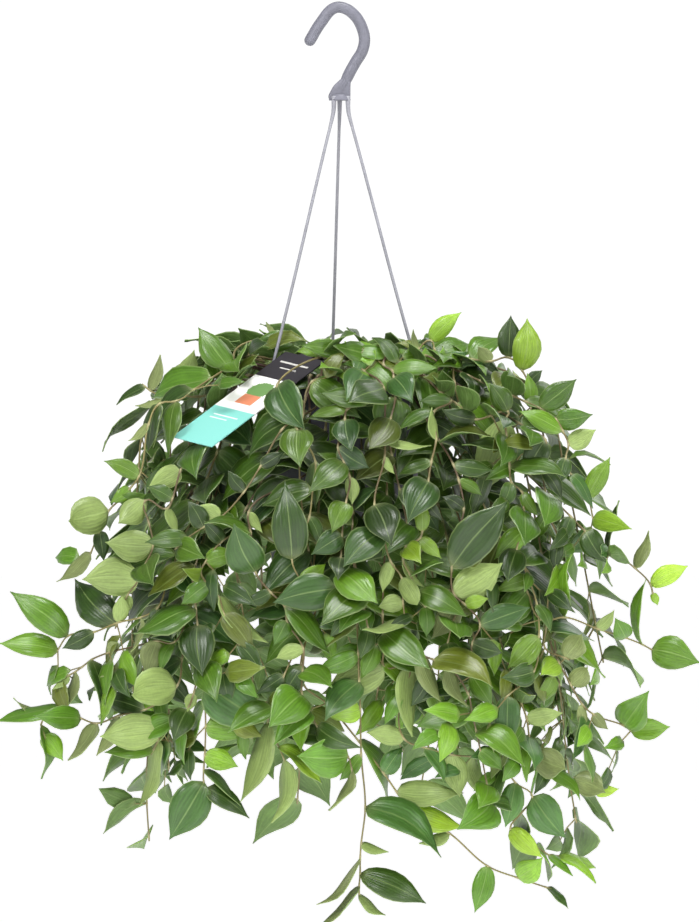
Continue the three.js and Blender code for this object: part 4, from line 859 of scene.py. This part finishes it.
# Patches are about 20 mm across, and the skin's cells are drawn at 2.5 mm.
patches = add_node(leaf_skin, "TexNoise", {"Vector": place, "Scale": 45, "Detail": 2})
mottle = add_node(leaf_skin, "MapRange", {"Value": patches, "To Min": 0.72, "To Max": 1.3})
cells = add_node(leaf_skin, "TexNoise", {"Vector": place, "Scale": 420, "Detail": 4})
speckle = add_node(leaf_skin, "MapRange", {"Value": cells, "To Min": 0.86, "To Max": 1.14})
tone = veined
for pattern in (mottle, speckle, streaked):
    tone = add_node(leaf_skin, "Math", {0: tone, 1: pattern}, operation="MULTIPLY")
green = add_node(leaf_skin, "VectorMath", {0: tint, 1: tone}, operation="MULTIPLY")
off_keel = add_node(leaf_skin, "Math", {0: over, 1: 0.5}, operation="SUBTRACT")
off_keel = add_node(leaf_skin, "Math", {0: off_keel}, operation="ABSOLUTE")
for start, end, most, code in ((0.03, 0.004, 0.26, "b3cb80"), (0.455, 0.495, 0.4, "a9bd7c")):
    paler = add_node(
        leaf_skin, "MapRange",
        {"Value": off_keel, "From Min": start, "From Max": end, "To Max": most},
    )
    green = add_node(leaf_skin, "Mix", {0: paler, 6: green, 7: linear(code)}, data_type="RGBA")
wax = add_node(leaf_skin, "MapRange", {"Value": streaks, "To Min": 0.2, "To Max": 0.55})
matt = add_node(leaf_skin, "Mix", {0: under, 2: wax, 3: 0.62})
furrow = add_node(leaf_skin, "Bump", {"Height": vein, "Strength": 0.2, "Distance": 0.0003})
pitted = add_node(
    leaf_skin, "Bump", {"Height": cells, "Strength": 0.2, "Distance": 0.0004, "Normal": furrow}
)
wire(shader, {"Base Color": green, "Roughness": matt, "Normal": pitted})

# A stem is smooth, purple-brown where old and tan-green where young, with a pale sheath at each
# joint. Fine lines run along it, drawn at about 1.4 mm, and it is blotched every 17 mm or so.
OLD_STEM = Vector(linear("4f3a31")[:3])
YOUNG_STEM = Vector(linear("857c4d")[:3])
SHEATH = Vector(linear("b3ac80")[:3])
stem_skin, shader, place = new_material("living stem", {"IOR": 1.45, "Roughness": 0.42})
tint = add_node(stem_skin, "Attribute", {}, attribute_name="tint").outputs["Color"]
lines = add_node(stem_skin, "TexNoise", {"Vector": place, "Scale": 700, "Detail": 3})
blush = add_node(stem_skin, "TexNoise", {"Vector": place, "Scale": 60, "Detail": 3})
tone = add_node(stem_skin, "MapRange", {"Value": blush, "To Min": 0.65, "To Max": 1.35})
skin = add_node(stem_skin, "VectorMath", {0: tint, 1: tone}, operation="MULTIPLY")
ribs = add_node(stem_skin, "Bump", {"Height": lines, "Strength": 0.3, "Distance": 0.0003})
wire(shader, {"Base Color": skin, "Normal": ribs})

BLADE = 0.55 * MM
BLADE_COLUMNS = 4


def make_blade(rows):
    """A flat blade, 1 long from x 0 to 1 and 2 wide, with an upper and an under side."""
    bm = bmesh.new()
    uv = bm.loops.layers.uv.new("UVMap")
    bm.verts.layers.float.new("under")
    bm.verts.layers.float_color.new("tint")
    bmesh.ops.create_grid(bm, x_segments=rows, y_segments=BLADE_COLUMNS, size=1)
    for vert in bm.verts:
        share = (vert.co.x + 1) / 2
        vert.co.x = share / 2 + (1 - math.cos(math.pi * share)) / 4
    for face in bm.faces:
        for loop in face.loops:
            loop[uv].uv = (loop.vert.co.x, (loop.vert.co.y + 1) / 2)
    bmesh.ops.solidify(bm, geom=bm.verts[:] + bm.edges[:] + bm.faces[:], thickness=0.5)
    face_outwards(bm)
    middle = (min(v.co.z for v in bm.verts) + max(v.co.z for v in bm.verts)) / 2
    under = bm.verts.layers.float["under"]
    for vert in bm.verts:
        vert[under] = float(vert.co.z < middle)
        vert.co.z = -0.5 if vert.co.z < middle else 0.5
    return new_mesh(bm, "flat_blade")


full_blade = make_blade(9)
small_blade = make_blade(5)

# Leaves over the pot are darker, partly as older leaves and partly by painted shade. Those far out
# and low down are brighter, partly as young leaves and partly by painted light from behind, and
# those of the crown by painted light from above.
OLD_TONE_IN_PAINTED_SHADE = 0.46
YOUNG_AND_LIT_GAIN = 1.08
YOUNG_AND_LIT_GAIN_OF_DARK = 0.7
# A leaf's crease is rounded over this much, and its edge runs into a sheath at the stem.
CREASE_ROUND = 1.2 * MM
SHEATH_HALF = 1.1 * MM
TIP_HALF = 0.15 * MM


def age_and_painted_light(base):
    """How young and how lit a leaf is painted, from its place alone: from 0 over the pot, in
    painted shade, to about 1 low down or far out, in painted light from behind, with painted light
    from above at the crown. Lengths are in m.
    """
    low = min((-0.38 - base.z) / 0.3, 1.1)
    wide = 0.8 * min((abs(base.x) - 0.1) / 0.17, 1)
    crown = 0.46 * min((base.z + 0.33) / 0.05, 1)
    return max(low, wide, crown, 0)


def add_leaf(bm, leaf, blade, rng):
    """Bends the flat blade into a leaf: folded on its keel, arched, waved and twisted."""
    base, tip = leaf["base"] * MM, leaf["tip"] * MM
    long, half = (tip - base).length, leaf["width"] / 2 * MM
    forward = (tip - base).normalized()
    side = leaf["face"].cross(forward).normalized()
    up = forward.cross(side)
    arch = rng.uniform(0.05, 0.14)
    bow_back = rng.uniform(-0.025, 0.03)
    sickle = rng.uniform(-0.06, 0.06)
    fold = rng.uniform(0.16, 0.6)
    curl = rng.uniform(0.1, 0.45)
    wave, phase = rng.uniform(0, 0.03), rng.uniform(0, 6.3)
    twist = rng.uniform(-0.35, 0.35)
    fullest = rng.uniform(0.64, 0.84)
    shade, warm = rng.uniform(0.78, 1.22), rng.uniform(-0.06, 0.06)
    # The leaf's brightness by its place is partly age and partly painted light and shade: darker
    # over the pot, brighter far out, low down and at the crown.
    gain = YOUNG_AND_LIT_GAIN_OF_DARK if leaf["green"] == "D" else YOUNG_AND_LIT_GAIN
    shade *= OLD_TONE_IN_PAINTED_SHADE + gain * age_and_painted_light(base)
    turned = leaf["green"] in TURNED_OVER
    top = Vector(linear(GREENS["M" if turned else leaf["green"]])[:3])
    top = Vector((top.x * (1 + warm), top.y, top.z * (1 - warm))) * shade
    below = Vector(linear(GREENS[leaf["green"]] if turned else UNDER_GREEN)[:3])
    below *= rng.uniform(0.85, 1.1)
    bm.from_mesh(blade)
    bm.verts.ensure_lookup_table()
    tint, under = bm.verts.layers.float_color["tint"], bm.verts.layers.float["under"]
    for vert in bm.verts[-len(blade.vertices) :]:
        t, across_blade, face_side = vert.co
        outline = math.sin(math.pi * t**fullest) if 0 < t < 1 else 0
        wide = half * outline ** (0.74 + 0.66 * t * t)
        wide += SHEATH_HALF + (TIP_HALF - SHEATH_HALF) * min(t * 4, 1)
        off = across_blade * wide
        height = long * (arch * math.sin(math.pi * t) + bow_back * math.sin(2 * math.pi * t))
        height += fold * (math.hypot(off, CREASE_ROUND) - CREASE_ROUND)
        height -= curl * off**2 / half
        ripple = 9 * t + phase + (1.5 if across_blade > 0 else 0)
        height += wave * long * math.sin(ripple) * across_blade**2
        turn = twist * (t - 0.3)
        bent = side * math.cos(turn) + up * math.sin(turn)
        raised = up * math.cos(turn) - side * math.sin(turn)
        vert.co = (
            base + forward * (t * long) + side * (sickle * long * math.sin(math.pi * t))
            + bent * off + raised * (height + face_side * BLADE)
        )
        lit = below if vert[under] > 0.5 else top
        vert[tint] = (*lit.lerp(PALE_BASE, max(0, 0.1 - t) * 4), 1)


# Side shoots keep clear of the pot, the water way and the front of the pot, and stay under the
# crown's dome, whose height falls away past its flat middle.
POT_CLEAR = 80
WATER_WAY = 30
POT_FOOT = -440
POT_FRONT_HALF = 75
POT_FRONT_TOP = -320
DOME_TOP = -260
DOME_FLAT = 100
DOME_SLOPE = 0.75
# Fewer side shoots break below this height, by this factor.
SPARSE_BELOW = -590
SPARSE = 0.3


def hides_label(point):
    """Whether a point lies in front of the label's plate."""
    x, z = (point * MM - LABEL_TOP).xz
    size = along.x * across.z - along.z * across.x
    down, over = (x * across.z - z * across.x) / size, (along.x * z - along.z * x) / size
    return 0 < down < label_length and abs(over) < LABEL_WIDTH / 2


def is_clear(point):
    """Whether a side shoot may pass here."""
    if not all(low < at * MM < high for low, at, high in zip(cad_box[0], point, cad_box[1])):
        return False
    radius = math.hypot(point.x, point.y)
    before_pot = point.y < 0 and abs(point.x) < POT_FRONT_HALF
    return not (
        hides_label(point)
        or (before_pot and POT_FOOT < point.z < POT_FRONT_TOP)
        or (radius < WATER_WAY and point.z > SOIL_LEVEL)
        or (radius < POT_CLEAR and POT_FOOT < point.z < RIM_LEVEL + 2)
        or point.z > DOME_TOP - DOME_SLOPE * max(radius - DOME_FLAT, 0)
    )


def side_shoots(joints, share, rng):
    """Short side shoots that have broken from a stem's joints: their routes and leaves."""
    routes, leaves = [], []
    for joint in joints:
        out = Vector((joint.x, joint.y, 0)).normalized()
        beside = Vector((-out.y, out.x, 0))
        at_crown = joint.z > RIM_LEVEL - 15
        heading = beside * rng.uniform(-1, 1) - out * rng.uniform(-0.3, 0.6)
        heading.z = rng.uniform(0.1, 0.6) if at_crown else rng.uniform(-0.7, 0.4)
        sag = Vector((0, 0, 0.2 if at_crown else 0.35))
        skipped = rng.random() > (share if joint.z > SPARSE_BELOW else SPARSE * share)
        route = [joint]
        for i in range(rng.randint(1, 3)):
            heading = (heading.normalized() - sag).normalized()
            spot = route[-1] + heading * rng.uniform(9, 16)
            forward = heading * 0.9 + beside * (1 if i % 2 else -1) * rng.uniform(0.4, 1)
            forward.z -= rng.uniform(-0.3, 0.4)
            long = rng.uniform(20, 38)
            leaf = {"base": spot, "tip": spot + forward.normalized() * long,
                    "width": long * rng.uniform(0.42, 0.58), "green": rng.choice("DMMBMOG"),
                    "face": out + Vector((0, 0, rng.uniform(0.1, 0.9)))}
            if skipped or not is_clear(spot) or not is_clear(leaf["tip"]):
                break
            route.append(spot)
            leaves.append(leaf)
        if len(route) > 1:
            routes.append(route)
    return routes, leaves


STEM_ROOT_HALF = 0.98 * MM
STEM_TIP_HALF = 0.64 * MM
JOINT_SWELL = 0.4
JOINT_LENGTH = 2.4 * MM
TWIG_ROOT_HALF = 0.7 * MM
TWIG_TAPER = 0.3 * MM
TWIG_SUNK = 0.4 * MM


def add_painted_tube(bm, line, radii, sides, colours):
    tint = bm.verts.layers.float_color["tint"]
    for ring, colour in zip(add_tube(bm, line, radii, sides), colours):
        for vert in ring:
            vert[tint] = (*colour, 1)


def add_stem(bm, route, joints, rng):
    """A tapering stem with swollen joints in pale sheaths."""
    line = smooth_route([point * MM for point in route], 4.5 * MM)
    marks = KDTree(len(joints))
    for i, joint in enumerate(joints):
        marks.insert(joint * MM, i)
    marks.balance()
    age = rng.uniform(-0.3, 0.6)
    near = [math.exp(-((marks.find(point)[2] / JOINT_LENGTH) ** 2)) for point in line]
    shares = [i / (len(line) - 1) for i in range(len(line))]
    radii = [
        (STEM_ROOT_HALF + (STEM_TIP_HALF - STEM_ROOT_HALF) * share) * (1 + JOINT_SWELL * joint)
        for share, joint in zip(shares, near)
    ]
    skins = [OLD_STEM.lerp(YOUNG_STEM, max(min(age + 0.8 * share, 1), 0)) for share in shares]
    skins = [skin.lerp(SHEATH, 0.8 * joint) for skin, joint in zip(skins, near)]
    add_painted_tube(bm, line, radii, 8, skins)


def add_twig(bm, route):
    """The thin young stem of a side shoot, sunk a little into the stem that it breaks from."""
    line = [point * MM for point in route]
    line.insert(0, line[0] + (line[0] - line[1]).normalized() * TWIG_SUNK)
    radii = [TWIG_ROOT_HALF - TWIG_TAPER * i / len(line) for i in range(len(line))]
    add_painted_tube(bm, line, radii, 6, [YOUNG_STEM] * len(line))


# The shoots at the sides and the back have more side shoots than the front ones.
shoots = []
for i, (name, (greens, *joints)) in enumerate(FRONT_SHOOTS.items()):
    is_open = name in OPEN_SHOOTS
    shoots.append(
        {"name": name, "index": i, "greens": greens, "joints": joints, "count": len(joints),
         "back": SET_BACK.get(name, 0), "node": front_node, "leaf": front_leaf,
         "size": 1 if is_open else DENSE_SIZE, "side_share": 0.4, "per_joint": 1,
         "spacing": FILL_SPACING if is_open else DENSE_SPACING}
    )
for i, azimuth in enumerate(TRAILING_AZIMUTHS):
    way = trailing_way(i, azimuth)
    shoots.append(
        {"name": f"trailing_{i + 1}", "index": i, "way": way, "count": len(way),
         "node": trailing_node, "leaf": trailing_leaf, "size": 1, "spacing": FILL_SPACING,
         "side_share": 0.8, "per_joint": 2}
    )
for number, shoot in enumerate(shoots):
    node_name = "shoot_" + shoot["name"]
    solid_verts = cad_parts[node_name].data.vertices
    solid = KDTree(len(solid_verts))
    for i, vert in enumerate(solid_verts):
        solid.insert(vert.co / MM, i)
    solid.balance()
    route, leaves = find_leaves(shoot, solid, *find_route(shoot, solid))
    joints = route[1:-1]
    rng = random.Random(number)
    bm = bmesh.new()
    bm.verts.layers.float_color.new("tint")
    add_stem(bm, route, joints, rng)
    side_rng = random.Random(1000 + number)
    twigs, young = side_shoots(joints * shoot["per_joint"], shoot["side_share"], side_rng)
    for twig in twigs:
        add_twig(bm, twig)
    face_outwards(bm)
    add_piece(bm, node_name + "_stem", stem_skin, node_name)
    bm = bmesh.new()
    for leaf in leaves:
        add_leaf(bm, leaf, full_blade, rng)
    for leaf in young:
        add_leaf(bm, leaf, small_blade, rng)
    add_piece(bm, node_name + "_leaves", leaf_skin, node_name)

# ---------------------------------------------------------------- studio
# A wide pale floor below the lowest leaf, an even white surround, and large soft lights: one
# high in front to the left, a weaker one to the right, one above and one behind.

FLOOR = -1.0
FLOOR_RADIUS = 60
PLANT_MIDDLE = Vector((0, 0, -0.42))

floor_paint, shader, place = new_material(
    "matt white floor",
    {"Roughness": 0.9, "Emission Color": (1, 1, 1, 1), "Emission Strength": 0.72},
)
scuffs = add_node(floor_paint, "TexNoise", {"Vector": place, "Scale": 3, "Detail": 3})
paint = add_node(
    floor_paint, "Mix", {0: scuffs, 6: linear("f6f6f6"), 7: linear("fcfcfc")}, data_type="RGBA"
)
wire(shader, {"Base Color": paint})
bm = bmesh.new()
bmesh.ops.create_circle(
    bm, cap_ends=True, segments=64, radius=FLOOR_RADIUS,
    matrix=Matrix.Translation((0, 0, FLOOR)),
)
floor = new_object("floor", new_mesh(bm, "floor"))
floor.data.materials.append(floor_paint)

# White round the horizon, where it is seen, and dimmer overhead, so that the lamps give the form.
world = bpy.data.worlds.new("surround")
bpy.context.scene.world = world
world.use_nodes = True
direction = add_node(world, "TexCoord", {}).outputs["Generated"]
height = add_node(world, "SeparateXYZ", {0: direction}).outputs["Z"]
dome = add_node(
    world, "MapRange",
    {"Value": height, "From Min": 0.05, "From Max": 0.3, "To Min": 1.04, "To Max": 0.26},
)
wire(world.node_tree.nodes["Background"], {"Color": (1, 1, 1, 1), "Strength": dome})
bpy.context.scene.view_settings.view_transform = "Standard"

for name, at, size, power in (
    ("key", (-1.0, -2.2, 1.3), 0.8, 42),
    ("fill", (1.9, -2.2, 0.3), 1.0, 18),
    ("above", (0.3, -0.4, 1.5), 0.7, 26),
    ("behind", (1.2, 2.2, 1.0), 1.2, 9),
):
    lamp = bpy.data.lights.new(name, "AREA")
    lamp.size = size
    lamp.energy = power
    light = new_object(name, lamp)
    light.location = at
    light.rotation_euler = (PLANT_MIDDLE - Vector(at)).to_track_quat("-Z", "Y").to_euler()

# The camera looks level along +Y, so far away that the frame is 737.6 mm high at the axis.
DISTANCE = 10.0
FRAME_HEIGHT = 0.7376
SENSOR = 36
camera_data = bpy.data.cameras.new("camera")
camera_data.sensor_width = SENSOR
camera_data.lens = SENSOR * DISTANCE / FRAME_HEIGHT
camera = new_object("camera", camera_data)
camera.location = (0.0072, -DISTANCE, -0.358)
camera.rotation_euler = (math.radians(90), 0, 0)
bpy.context.scene.camera = camera
